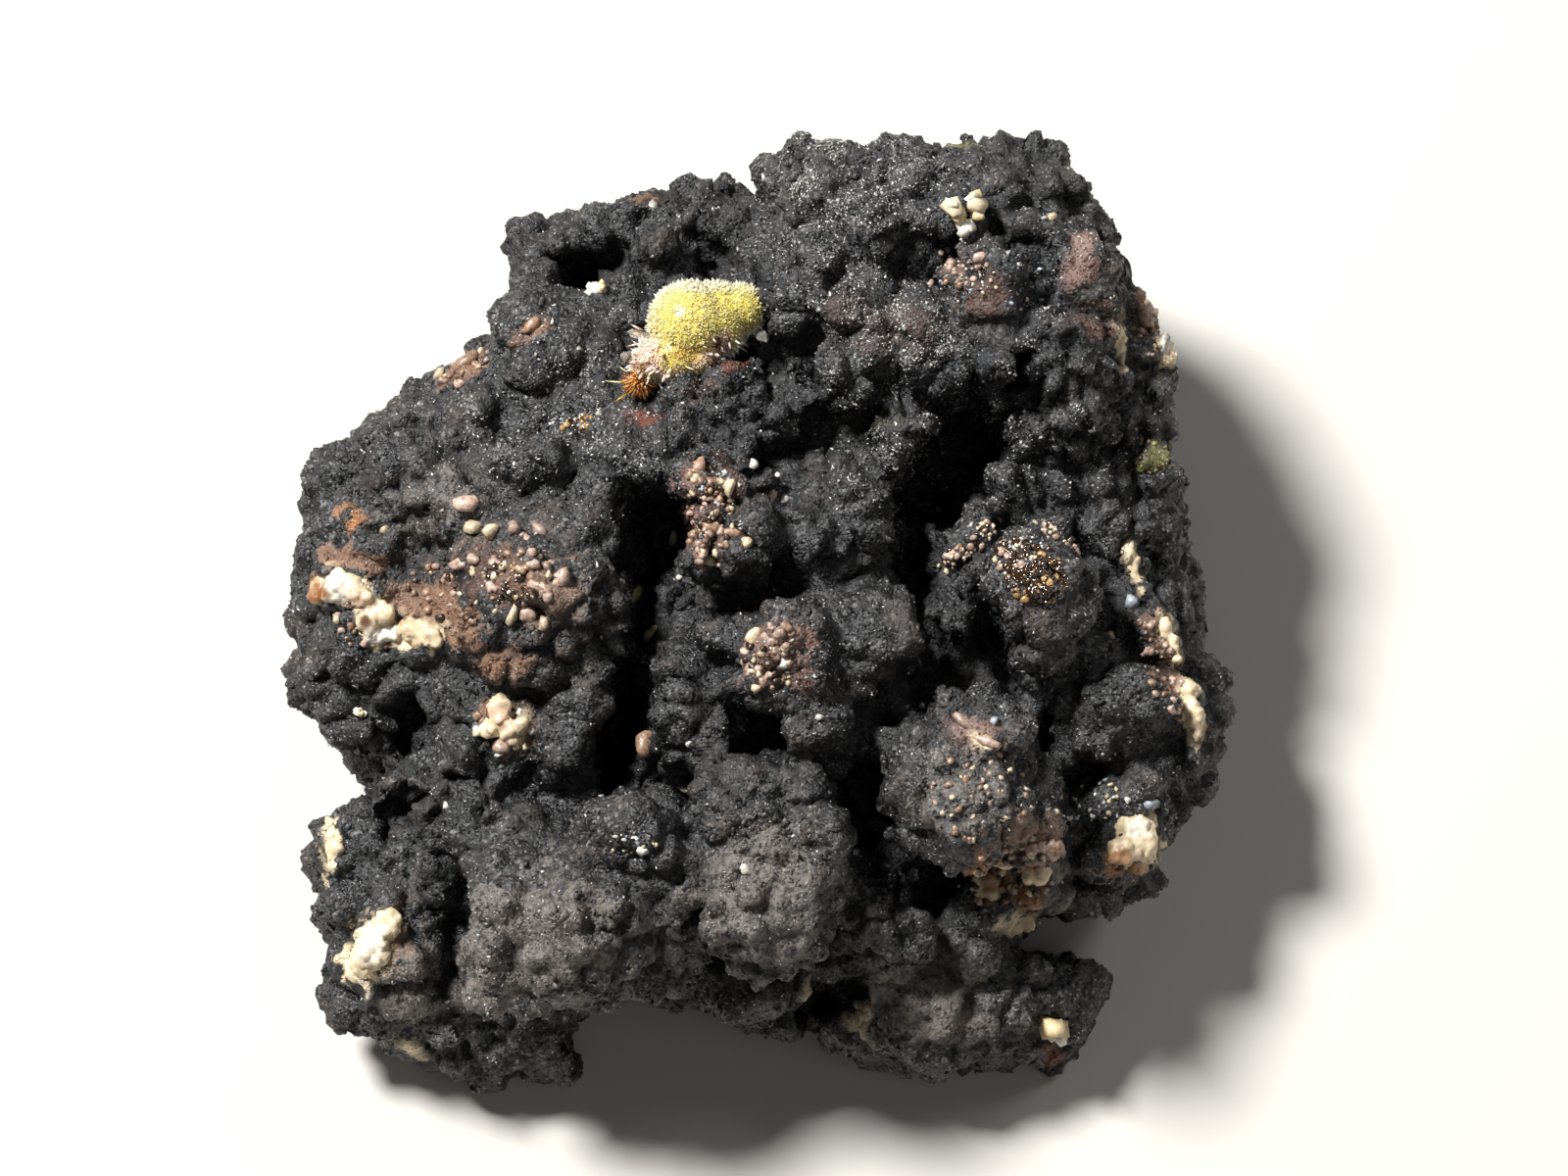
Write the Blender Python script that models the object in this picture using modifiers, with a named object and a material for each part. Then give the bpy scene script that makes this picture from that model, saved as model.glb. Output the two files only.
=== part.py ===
"""A small specimen of cobaltarthurite on its rock, lying on its broken back.

A knobbly lump of rock coated with black cobalt and manganese oxides holds one spiny yellow ball
of cobaltarthurite in a pocket, with an iron stained spray, a few clear crystals and white chips.

The rock is drawn face on, in millimetres: U to the right, V upwards, W towards the viewer, from
the middle of its display face. It is then tipped back and set down on the floor, z = 0.
"""

import math
import random

import bmesh
import bpy
from mathutils import Matrix, Vector, noise
from mathutils.bvhtree import BVHTree

MM = 0.001
SEED = 11

# The display face leans back from the viewer by this much, and its middle is this high.
FACE_TIP = math.radians(20.0)
FACE_HEIGHT = 5.0
FACE_SETBACK = -0.3

SEAT_GAP = 0.03

# The rim of the display face, clockwise from the step at the top: u, v.
RIM = (
    (0.1, 8.65), (0.3, 9.2), (1.0, 9.45), (2.0, 9.3), (3.1, 9.45), (4.3, 9.65), (5.3, 9.5), (6.3, 9.1),
    (7.0, 8.5), (7.5, 7.6), (7.75, 6.8), (7.9, 6.25), (8.35, 6.1), (8.4, 5.5), (8.5, 4.4), (8.75, 3.0),
    (9.0, 1.7), (9.2, 0.2), (9.35, -0.7), (9.6, -1.4), (9.3, -2.5), (9.45, -3.3), (8.95, -3.8),
    (8.4, -4.7), (8.1, -5.6), (7.7, -6.1), (6.3, -6.2), (5.8, -6.7), (5.3, -7.1), (5.7, -7.5),
    (6.4, -7.6), (7.0, -7.65), (7.15, -8.0), (6.6, -8.5), (6.4, -9.0), (6.0, -9.4), (5.4, -9.1), (5.1, -9.4),
    (4.1, -9.5), (3.3, -9.6), (2.6, -9.2), (1.4, -8.9), (0.4, -8.7), (-0.6, -8.6), (-1.4, -8.1),
    (-2.0, -7.7), (-3.0, -7.8), (-3.9, -8.5), (-3.3, -9.1), (-4.0, -9.6), (-4.9, -9.3),
    (-5.4, -9.8), (-6.3, -9.45), (-7.4, -9.0), (-8.0, -8.5), (-8.7, -7.8), (-8.8, -6.5),
    (-8.8, -5.2), (-8.7, -4.3), (-7.9, -3.5), (-8.6, -2.8), (-9.1, -1.7), (-9.3, -0.7),
    (-9.2, 0.6), (-9.1, 1.9), (-8.9, 2.7), (-8.1, 3.5), (-7.3, 4.2), (-6.6, 4.6), (-5.7, 5.4),
    (-5.0, 5.9), (-4.7, 6.4), (-5.3, 7.2), (-5.2, 7.95), (-4.3, 8.4), (-3.4, 8.3), (-3.1, 8.75),
    (-2.4, 8.8), (-1.4, 8.6), (-0.5, 8.75),
)

# The rock's wall from its back to its face: the rim's size there, and how far towards the viewer.
WALL = (
    (0.60, -11.0), (0.75, -8.0), (0.885, -5.0), (0.965, -2.5), (0.99, -1.0),
    (1.0, -0.3), (0.965, 0.35), (0.89, 0.8), (0.72, 1.1), (0.40, 1.3),
)

# Where the face drops away from the viewer: u, v, reach, drop.
SAGS = (
    (-3.6, 8.6, 3.0, 3.4),
    (-0.8, 9.2, 1.6, 2.2),
    (9.6, 0.0, 2.2, 0.8),
    (6.4, -8.9, 1.8, 0.9),
    (-4.6, -9.6, 2.0, 0.8),
)
SAG_FADES = 4.0

# The knobs that stand on the face: u, v, half width, half height, and the w of the top.
KNOBS = (
    (-4.2, 0.0, 1.75, 1.6, 3.2), (-0.7, 1.8, 1.2, 1.5, 3.5), (1.6, 1.5, 1.5, 1.3, 2.8),
    (0.6, -0.9, 1.15, 1.15, 4.2), (2.3, -0.8, 1.1, 1.2, 3.8), (5.6, 0.1, 1.25, 1.35, 3.1),
    (4.3, -3.7, 1.75, 1.7, 4.6), (4.6, -2.6, 1.1, 0.8, 4.4), (0.3, -5.7, 1.5, 1.8, 4.3),
    (-3.6, -6.2, 2.1, 1.8, 4.3), (-2.3, -4.7, 1.25, 0.85, 4.2), (-1.4, -1.9, 1.3, 1.3, 3.3),
    (0.0, -3.9, 1.4, 1.1, 4.0), (-4.2, -7.3, 1.5, 0.9, 3.3), (-2.0, -6.6, 1.2, 1.0, 3.5),
    (-7.0, -6.8, 1.3, 1.4, 1.7), (-4.6, -8.7, 1.0, 0.5, 0.3), (-6.0, -8.2, 1.3, 0.8, 0.9),
    (-6.6, -5.0, 1.2, 1.0, 1.5), (-5.0, -4.6, 1.1, 1.1, 2.6), (-5.4, -2.5, 1.2, 1.1, 1.9),
    (-3.6, -2.6, 0.8, 1.0, 2.3), (-7.6, -0.1, 1.4, 1.0, 1.0), (-8.3, 0.6, 0.8, 0.7, 0.8),
    (-8.5, -0.8, 0.8, 0.8, 0.3), (-6.4, 2.6, 1.4, 1.0, 1.4), (-7.7, 2.0, 0.9, 0.9, 0.7),
    (-4.2, 2.9, 1.3, 0.7, 2.0), (-2.2, 3.1, 1.1, 0.7, 2.4), (-3.2, 1.9, 0.9, 0.6, 2.1),
    (-5.4, 1.9, 1.1, 0.7, 1.8), (-4.0, 4.8, 1.3, 1.0, 0.9), (-4.7, 5.7, 0.6, 0.5, 0.2),
    (-5.6, 4.6, 0.7, 0.5, -0.2), (-6.8, 3.6, 0.8, 0.5, 0.1), (-1.5, 3.95, 0.5, 0.5, 2.1),
    (-0.4, 4.0, 0.9, 0.75, 2.3), (0.8, 6.1, 0.55, 0.6, 2.1), (1.9, 5.9, 0.78, 0.8, 2.4),
    (3.3, 5.7, 0.7, 0.7, 2.5), (1.8, 4.7, 0.85, 0.7, 2.4), (2.9, 4.9, 0.5, 0.6, 2.2),
    (0.9, 4.0, 0.85, 0.65, 2.1), (4.6, 4.9, 1.0, 0.8, 2.4), (6.1, 5.0, 0.9, 0.9, 2.4),
    (6.3, 3.9, 0.9, 0.6, 2.0), (4.6, 6.4, 0.95, 0.7, 2.4), (6.5, 7.0, 0.6, 0.85, 1.6),
    (6.4, 6.0, 0.7, 0.5, 1.6), (5.7, 7.4, 0.75, 0.65, 1.7), (4.3, 7.8, 0.75, 0.65, 1.7),
    (2.6, 7.5, 1.1, 0.85, 1.7), (1.2, 7.0, 0.55, 0.6, 1.5), (1.3, 8.1, 0.9, 0.7, 1.0),
    (3.0, 8.5, 1.0, 0.7, 0.9), (4.7, 8.5, 0.8, 0.6, 1.1), (5.9, 8.2, 0.65, 0.55, 0.6),
    (3.0, 3.4, 0.62, 1.0, 2.1), (1.6, 3.15, 0.6, 0.42, 1.8), (5.6, 2.8, 0.95, 1.0, 1.2),
    (6.7, 2.4, 0.85, 1.0, 1.1), (8.1, 2.0, 0.6, 1.1, 0.2), (7.6, 4.4, 0.6, 0.8, 0.5),
    (8.0, 5.5, 0.42, 0.65, -0.2), (7.5, 0.6, 0.5, 0.8, 1.1), (8.0, -0.6, 0.65, 0.85, 1.2),
    (8.5, 0.0, 0.5, 0.9, -0.2), (7.3, -2.0, 0.95, 0.7, 1.9), (8.2, -2.0, 0.6, 0.6, 1.1),
    (8.6, -3.0, 0.55, 0.6, 0.7), (8.8, -1.4, 0.5, 0.8, 0.1), (6.5, -2.8, 0.5, 0.6, 1.6),
    (6.4, -0.8, 0.65, 0.75, 1.8), (3.8, -0.4, 0.5, 0.6, 1.9), (7.4, -5.0, 0.85, 0.75, 1.2),
    (5.8, -5.3, 0.9, 0.75, 1.6), (4.8, -6.0, 0.7, 0.7, 1.6), (4.6, -6.8, 0.6, 0.45, 0.9),
    (7.2, -3.9, 1.0, 0.5, 1.2), (3.0, -6.4, 0.85, 0.85, 2.2), (2.0, -5.6, 0.75, 1.1, 2.8),
    (3.2, -8.1, 1.2, 0.8, 1.0), (4.6, -8.1, 0.7, 0.6, 0.7), (6.0, -8.2, 0.7, 0.55, -0.1),
    (-0.2, -7.6, 1.2, 0.7, 1.5), (-2.3, 8.0, 0.42, 0.4, -1.8), (-1.2, 7.9, 0.7, 0.45, -1.7),
    (-0.2, 8.0, 0.5, 0.5, -1.1), (-1.9, 7.3, 0.5, 0.42, -0.5), (-4.5, 7.3, 0.36, 0.5, -2.0),
    (-4.3, 6.6, 0.32, 0.4, -1.6), (-3.0, 6.9, 0.55, 0.32, -0.7), (-2.6, 3.8, 0.55, 0.4, 1.6),
    (-8.2, -5.0, 0.5, 0.9, 0.6), (-3.0, -0.9, 0.6, 0.7, 2.6), (-5.0, 0.9, 0.7, 0.6, 2.5),
    (1.3, -2.4, 0.7, 0.5, 3.7), (2.9, -2.7, 0.5, 0.5, 3.2), (-0.7, -0.2, 0.55, 0.5, 3.2),
    (-4.9, -5.6, 0.8, 0.7, 3.7), (-1.2, -5.6, 0.6, 0.8, 4.0), (1.3, -4.6, 0.6, 0.8, 4.1),
)

# The crevices and pits: u, v, half length, half width, turn in degrees, and the w of the bottom.
PITS = (
    (-2.75, -2.4, 1.20, 0.46, 82, -1.0), (-2.0, 1.3, 1.00, 0.60, 80, -0.8),
    (-2.2, -0.1, 0.80, 0.44, 84, 0.0), (4.0, 2.9, 1.50, 0.78, 52, -1.8),
    (3.2, 1.0, 1.15, 0.52, 96, -0.8), (4.9, -0.9, 1.55, 0.34, 117, 0.0),
    (3.55, -0.6, 0.90, 0.32, 110, 0.4), (2.2, -4.0, 1.20, 0.50, 102, -0.2),
    (3.6, -5.9, 0.75, 0.40, 70, -0.6), (6.0, -2.4, 0.85, 0.34, 118, 0.0),
    (6.9, -3.3, 0.80, 0.36, 12, -0.2), (-3.5, 7.1, 0.95, 0.50, 8, -3.6),
    (-0.95, 7.05, 0.70, 0.45, -12, -1.8), (1.8, 3.7, 1.45, 0.24, 30, 0.6),
    (0.9, 3.15, 0.55, 0.30, 12, 0.6),
    (-8.2, 2.7, 0.50, 0.36, 50, -0.4), (-7.3, -4.3, 0.80, 0.34, 12, -0.1),
    (5.3, 4.6, 0.70, 0.22, 78, 1.0), (8.1, 1.2, 0.80, 0.20, 98, -0.9),
    (-7.2, -2.5, 0.85, 0.50, -20, -0.4), (-4.2, -3.5, 1.15, 0.24, 8, 1.0),
    (-5.9, -6.1, 1.00, 0.20, 98, 1.0), (-1.05, -6.4, 0.90, 0.16, 82, 2.6),
    (-3.7, 2.65, 0.36, 0.22, 60, 1.0), (-4.2, 3.9, 0.60, 0.22, 12, 0.2),
    (5.0, 1.6, 0.50, 0.26, 60, 0.5), (6.5, 3.1, 0.50, 0.22, -10, 0.5),
    (1.5, -8.15, 0.62, 0.42, 80, -2.6), (-0.3, 4.95, 0.95, 0.30, 24, 0.5),
    (0.7, 2.85, 0.60, 0.18, -20, 1.6), (-1.5, -0.4, 0.75, 0.24, 60, 1.2),
    (6.6, 1.5, 0.60, 0.22, 70, 0.4), (3.7, 6.6, 0.50, 0.16, 60, 1.3),
    (-6.2, 1.3, 0.60, 0.18, -25, 0.9), (7.3, 3.4, 0.50, 0.20, 60, 0.0),
    (1.8, -2.9, 0.70, 0.26, -10, 2.4), (-0.6, 0.15, 0.90, 0.20, 10, 1.6),
)
PIT_REACH = 3.6

# The gaps that go right back between the rim's spurs: u, v, half length, half width, turn.
NOTCHES = (
    (6.9, -6.82, 1.50, 0.44, 10), (-8.7, -3.5, 1.00, 0.34, 4), (-3.0, -8.7, 0.85, 0.55, 20),
    (-5.6, 6.3, 0.80, 0.45, 50),
)
NOTCH_REACH = 12.0

# The ball stands in this pocket: u, v, half width, half height, and the w of its floor.
POCKET = (-1.1, 5.55, 1.35, 1.15, 0.35)

# The sides and back, which the face hides, are as knobbly and as pitted.
SIDE_KNOBS = 84
SIDE_KNOB_RADIUS = (0.65, 1.5)
SIDE_PITS = 22
SIDE_PIT_RADII = (0.42, 0.42, 1.1)
SIDE_DEPTHS = (-8.5, -1.2)

# How the rock strays from these shapes: spacing and size, of its bends and of its small lumps.
BENDS = ((2.4, 0.34), (1.0, 0.20))
LUMPS = ((1.3, 0.40), (0.75, 0.22))
LUMPS_SINK = 0.58

ROCK_VOXEL = 0.17
ROCK_TRIANGLES = 8000

# The yellow ball's lobes: u, v, w, radius.
BALL_LOBES = (
    (-1.30, 5.78, 1.25, 0.80), (-0.28, 6.05, 1.10, 0.46), (-1.62, 5.10, 1.36, 0.50),
    (-1.30, 5.12, 1.30, 0.42), (-0.88, 5.80, 1.15, 0.60), (-0.80, 6.10, 1.08, 0.46),
    (-2.05, 4.98, 1.20, 0.36),
)
BALL_VOXEL = 0.16
BALL_FACETS = 330
BALL_SPINE = 0.16

# The iron stained spray: u, v, core radius, spine length.
SPRAY = (-2.42, 4.46, 0.24, 0.26)

# The clear crystals: name, u, v, w, length, width, lean to the right and upwards in degrees.
CLEAR_CRYSTALS = (
    ("clear_crystal_right", 0.11, 5.56, 1.10, 0.28, 0.26, 42, -38),
    ("clear_crystal_left", -2.34, 5.53, 1.15, 0.36, 0.17, -62, 14),
    ("clear_crystal_below", -2.56, 5.10, 1.15, 0.30, 0.20, -36, -6),
)

# The white chips: name, u, v, and the lobes each is broken into, as du, dv, half size.
CHIPS = (
    ("white_chip_top", 4.32, 7.98, ((-0.20, 0.22, 0.23), (0.22, 0.20, 0.24), (0.02, -0.26, 0.22))),
    ("white_chip_left", -3.22, 6.44, ((-0.10, 0.0, 0.15), (0.12, 0.03, 0.14))),
    ("white_chip_foot", 6.10, -8.50, ((-0.10, 0.04, 0.22), (0.14, -0.06, 0.22))),
    ("white_chip_hollow", -8.06, -2.16, ((0.0, 0.0, 0.13),)),
)

CHIP_RISE = 0.35

# The glossy brown beads that line a hollow on the right knob: u, v, half width, half height, top.
# Then the middle of the beads, their spread, how far they sink in, their size and their count.
BEADS_KNOB = (5.6, 0.1, 1.35, 1.45, 3.0)
BEADS_MIDDLE = (5.75, 0.6)
BEADS_SPREAD = (0.66, 0.66)
BEADS_SINK = 0.1
BEAD_RADIUS = 0.17
BEAD_COUNT = 36
GOLDEN_ANGLE = math.radians(137.5)
BEADS_VOXEL = 0.085
BEADS_TRIANGLES = 900

BLACK_ROCK = ((0.045, 0.043, 0.043, 1), 0.62, 0.0)
YELLOW = ((0.80, 0.70, 0.24, 1), 0.42, 0.0)
RUST = ((0.52, 0.20, 0.03, 1), 0.45, 0.0)
CLEAR = ((0.82, 0.82, 0.78, 1), 0.12, 0.0)
WHITE = ((0.78, 0.72, 0.60, 1), 0.50, 0.0)
BROWN_GLOSS = ((0.16, 0.07, 0.03, 1), 0.18, 0.0)

TO_FLOOR = (
    Matrix.Translation((0, FACE_SETBACK * MM, FACE_HEIGHT * MM))
    @ Matrix.Rotation(FACE_TIP, 4, "X")
    @ Matrix.Scale(MM, 4)
)


def clear_scene():
    for old in list(bpy.data.objects):
        bpy.data.objects.remove(old, do_unlink=True)


def collection(name):
    made = bpy.data.collections.new(name)
    bpy.context.scene.collection.children.link(made)
    return made


def material(name, look):
    color, roughness, metallic = look
    made = bpy.data.materials.new(name)
    made.use_nodes = True
    shader = made.node_tree.nodes["Principled BSDF"]
    shader.inputs["Base Color"].default_value = color
    shader.inputs["Roughness"].default_value = roughness
    shader.inputs["Metallic"].default_value = metallic
    return made


def link(name, bm, home, finish=None):
    mesh = bpy.data.meshes.new(name)
    bm.to_mesh(mesh)
    bm.free()
    made = bpy.data.objects.new(name, mesh)
    home.objects.link(made)
    if finish:
        mesh.materials.append(finish)
    return made


def with_modifiers_applied(made):
    """The object's mesh becomes what its modifiers make of it."""
    bpy.context.view_layer.update()
    graph = bpy.context.evaluated_depsgraph_get()
    mesh = bpy.data.meshes.new_from_object(made.evaluated_get(graph))
    made.modifiers.clear()
    made.data = mesh
    return made


def remesh(made, voxel):
    made.modifiers.new("one_skin", "REMESH").mode = "VOXEL"
    made.modifiers["one_skin"].voxel_size = voxel
    return with_modifiers_applied(made)


def thin_out(made, triangles):
    made.data.calc_loop_triangles()
    share = triangles / len(made.data.loop_triangles)
    if share < 1:
        fewer = made.modifiers.new("fewer_faces", "DECIMATE")
        fewer.ratio = share
        fewer.use_collapse_triangulate = True
        with_modifiers_applied(made)
    return made


def cut(made, cutter):
    taken = made.modifiers.new("cut", "BOOLEAN")
    taken.operation = "DIFFERENCE"
    taken.object = cutter
    return with_modifiers_applied(made)


def ellipsoid(bm, middle, radii, turn=0.0, detail=3):
    shape = (
        Matrix.Translation(middle)
        @ Matrix.Rotation(math.radians(turn), 4, "Z")
        @ Matrix.Diagonal((*radii, 1))
    )
    bmesh.ops.create_icosphere(bm, subdivisions=detail, radius=1, matrix=shape)


def sag_at(u, v):
    """How far the face drops away from the viewer at that place."""
    total = 0.0
    for su, sv, reach, drop in SAGS:
        away = math.hypot(u - su, v - sv) / reach
        total += drop * math.exp(-away * away)
    return total


def body_of_rock():
    """The rim carried from the back to the face, its size changing as WALL says."""
    bm = bmesh.new()
    rings = [rim_at(bm, size, w) for size, w in WALL]
    for behind, before in zip(rings, rings[1:]):
        bmesh.ops.bridge_loops(bm, edges=behind + before)
    for ring in (rings[0], rings[-1]):
        bmesh.ops.edgeloop_fill(bm, edges=ring)
    bmesh.ops.recalc_face_normals(bm, faces=bm.faces)
    return bm


def rim_at(bm, size, w):
    """One ring of edges of the rock's wall. It sinks with the face, and less so further back."""
    share = max(0.0, min(1.0, (w + SAG_FADES) / SAG_FADES))
    verts = []
    for u, v in RIM:
        sunk = w - share * sag_at(u * size, v * size)
        verts.append(bm.verts.new((u * size, v * size, sunk)))
    return [bm.edges.new(pair) for pair in zip(verts, verts[1:] + verts[:1])]


def wall_size(w):
    """The rim's size at that depth of the wall."""
    for (size, low), (next_size, high) in zip(WALL, WALL[1:]):
        if low <= w <= high:
            return size + (next_size - size) * (w - low) / (high - low)
    return WALL[-1][0]


def place_on_wall(chance):
    """A chance place on the rock's side: u, v, w and the wall's inset from the rim there."""
    w = chance.uniform(*SIDE_DEPTHS)
    corner = chance.randrange(len(RIM))
    along = chance.random()
    (u, v), (next_u, next_v) = RIM[corner], RIM[(corner + 1) % len(RIM)]
    u += (next_u - u) * along
    v += (next_v - v) * along
    size = wall_size(w)
    return u * size, v * size, w, (1 - size) * math.hypot(u, v)


def add_side_knobs(bm, chance):
    least, most = SIDE_KNOB_RADIUS
    for knob in range(SIDE_KNOBS):
        u, v, w, inset = place_on_wall(chance)
        radius = max(least, min(most, 1.7 * inset)) * chance.uniform(0.75, 1.0)
        inwards = 1 - 0.6 * radius / math.hypot(u, v)
        ellipsoid(bm, (u * inwards, v * inwards, w), (radius, radius, radius * chance.uniform(0.8, 1.3)))


def add_side_pits(bm, chance):
    for pit in range(SIDE_PITS):
        u, v, w, inset = place_on_wall(chance)
        ellipsoid(bm, (u, v, w), SIDE_PIT_RADII, turn=chance.uniform(0, 180))


def pits_and_notches(chance):
    bm = bmesh.new()
    for u, v, long, wide, turn, bottom in PITS:
        ellipsoid(bm, (u, v, bottom + PIT_REACH), (long, wide, PIT_REACH), turn)
    for u, v, long, wide, turn in NOTCHES:
        ellipsoid(bm, (u, v, 0), (long, wide, NOTCH_REACH), turn)
    u, v, wide, high, bottom = POCKET
    ellipsoid(bm, (u, v, bottom + high), (wide, high, high))
    add_side_pits(bm, chance)
    return bm


def rock_skin(home, finish):
    """The body and its knobs under one skin, pitted, bent and lumpy."""
    chance = random.Random(SEED)
    noise.seed_set(SEED)
    bm = body_of_rock()
    for u, v, wide, high, top in KNOBS:
        deep = min(wide, high)
        ellipsoid(bm, (u, v, top - deep), (wide, high, deep))
    add_side_knobs(bm, chance)
    rock = remesh(link("matrix", bm, home), ROCK_VOXEL)
    cutter = remesh(link("pits_cutter", pits_and_notches(chance), home), ROCK_VOXEL / 2)
    cut(rock, cutter)
    bpy.data.objects.remove(cutter)
    remesh(rock, ROCK_VOXEL)
    stray(rock.data)
    remesh(rock, ROCK_VOXEL)
    thin_out(rock, ROCK_TRIANGLES)
    rock.data.materials.clear()
    rock.data.materials.append(finish)
    return rock


def stray(mesh):
    """Bends the rock this way and that, and raises small lumps round the points of a cell pattern."""
    shift = Vector((SEED, SEED / 2, 0))
    moved = []
    for vert in mesh.vertices:
        raised = 0.0
        for spacing, height in LUMPS:
            away = noise.voronoi(vert.co / spacing + shift)[0][0]
            raised += (1 - LUMPS_SINK - min(1.0, away) ** 2) * height
        place = vert.co + vert.normal * raised
        for spacing, size in BENDS:
            place += noise.noise_vector(vert.co / spacing + shift) * size
        moved.append(place)
    for vert, place in zip(mesh.vertices, moved):
        vert.co = place
    mesh.update()


def depth_finder(mesh):
    """A function that gives the w of the rock's face at u, v."""
    bm = bmesh.new()
    bm.from_mesh(mesh)
    tree = BVHTree.FromBMesh(bm)
    bm.free()

    def depth(u, v):
        hit = tree.ray_cast(Vector((u, v, 20)), Vector((0, 0, -1)))[0]
        return hit.z

    return depth


def spiny_ball(home, finish):
    """Seven lobes under one skin, whose facets are each drawn out to a spine."""
    bm = bmesh.new()
    for u, v, w, radius in BALL_LOBES:
        ellipsoid(bm, (u, v, w), (radius, radius, radius * 0.92), detail=3)
    ball = remesh(link("cobaltarthurite_ball", bm, home), BALL_VOXEL)
    thin_out(ball, BALL_FACETS)
    draw_spines(ball, BALL_SPINE)
    ball.data.materials.clear()
    ball.data.materials.append(finish)
    return ball


def draw_spines(made, length):
    bm = bmesh.new()
    bm.from_mesh(made.data)
    bmesh.ops.poke(bm, faces=bm.faces[:], offset=length)
    bm.to_mesh(made.data)
    bm.free()


def iron_spray(home, finish, depth):
    u, v, radius, spine = SPRAY
    bm = bmesh.new()
    ellipsoid(bm, (u, v, depth(u, v) + radius * 0.6), (radius, radius, radius), detail=2)
    spray = link("iron_stained_spray", bm, home, finish)
    draw_spines(spray, spine)
    return spray


def clear_crystal(home, finish, crystal):
    """A six sided prism with a point, grown out of the side of the ball."""
    name, u, v, w, length, width, right, up = crystal
    bm = bmesh.new()
    radius = width / 2
    bmesh.ops.create_cone(
        bm, cap_ends=True, segments=6, radius1=radius, radius2=radius, depth=length,
    )
    tip = max(bm.faces, key=lambda face: face.calc_center_median().z)
    bmesh.ops.poke(bm, faces=[tip], offset=width * 0.55)
    lean = Matrix.Rotation(math.radians(right), 4, "Y") @ Matrix.Rotation(math.radians(-up), 4, "X")
    bmesh.ops.transform(bm, matrix=Matrix.Translation((u, v, w)) @ lean, verts=bm.verts)
    return link(name, bm, home, finish)


def broken_lump(bm, middle, half, random_turn):
    """A small block with its corners knocked off."""
    block = bmesh.new()
    bmesh.ops.create_cube(block, size=2 * half)
    bmesh.ops.bevel(
        block, geom=block.verts[:], affect="VERTICES", offset=half * 0.55,
        offset_type="OFFSET", segments=1, profile=0.5, material=-1,
    )
    turn = random_turn.to_matrix().to_4x4()
    bmesh.ops.transform(block, matrix=Matrix.Translation(middle) @ turn, verts=block.verts)
    scratch = bpy.data.meshes.new("block")
    block.to_mesh(scratch)
    block.free()
    bm.from_mesh(scratch)
    bpy.data.meshes.remove(scratch)


def white_chip(home, finish, depth, chip):
    name, u, v, lobes = chip
    chance = random.Random(name)
    ground = depth(u, v)
    bm = bmesh.new()
    for du, dv, half in lobes:
        turn = Vector((chance.random(), chance.random(), 1)).to_track_quat("Z", "Y")
        broken_lump(bm, (u + du, v + dv, ground + half * CHIP_RISE), half, turn)
    made = link(name, bm, home)
    if len(lobes) > 1:
        remesh(made, 0.07)
        thin_out(made, 150)
    made.data.materials.clear()
    made.data.materials.append(finish)
    return made


def brown_beads(home, finish, depth):
    """Beads of goethite grown together into one crust over the hollow of the right knob."""
    chance = random.Random(SEED)
    knob_u, knob_v, wide, high, top = BEADS_KNOB
    deep = min(wide, high)

    def on_knob(u, v):
        fall = ((u - knob_u) / wide) ** 2 + ((v - knob_v) / high) ** 2
        return top - deep + deep * math.sqrt(max(0.0, 1.0 - fall))

    lift = depth(*BEADS_MIDDLE) - on_knob(*BEADS_MIDDLE) - BEADS_SINK
    bm = bmesh.new()
    for bead in range(BEAD_COUNT):
        angle = bead * GOLDEN_ANGLE
        away = math.sqrt((bead + 0.5) / BEAD_COUNT)
        u = BEADS_MIDDLE[0] + BEADS_SPREAD[0] * away * math.cos(angle)
        v = BEADS_MIDDLE[1] + BEADS_SPREAD[1] * away * math.sin(angle)
        radius = BEAD_RADIUS * chance.uniform(0.8, 1.2)
        ellipsoid(bm, (u, v, on_knob(u, v) + lift), (radius, radius, radius), detail=2)
    crust = remesh(link("brown_bead_crust", bm, home), BEADS_VOXEL)
    thin_out(crust, BEADS_TRIANGLES)
    crust.data.materials.clear()
    crust.data.materials.append(finish)
    return crust


def seat_in(rock, made, home):
    """Takes out of the rock the room that the piece and its gap need."""
    bm = bmesh.new()
    bm.from_mesh(made.data)
    hull = bmesh.ops.convex_hull(bm, input=bm.verts)
    inside = [g for g in hull["geom_interior"] if isinstance(g, bmesh.types.BMVert)]
    bmesh.ops.delete(bm, geom=inside, context="VERTS")
    hull_only = set(hull["geom"])
    loose = [face for face in bm.faces if face not in hull_only]
    bmesh.ops.delete(bm, geom=loose, context="FACES")
    bmesh.ops.recalc_face_normals(bm, faces=bm.faces)
    for vert in bm.verts:
        vert.normal_update()
    grown = [(vert, vert.co + vert.normal * SEAT_GAP * 2) for vert in bm.verts]
    for vert, place in grown:
        vert.co = place
    cutter = link("seat_cutter", bm, home)
    cut(rock, cutter)
    bpy.data.objects.remove(cutter)


def flatten_back(rock, home):
    """The broken back, cut flat where the rock stands on the floor."""
    block = bmesh.new()
    bmesh.ops.create_cube(block, size=60 * MM, matrix=Matrix.Translation((0, 0, -30 * MM)))
    cutter = link("floor_cutter", block, home)
    cut(rock, cutter)
    bpy.data.objects.remove(cutter)


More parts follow.
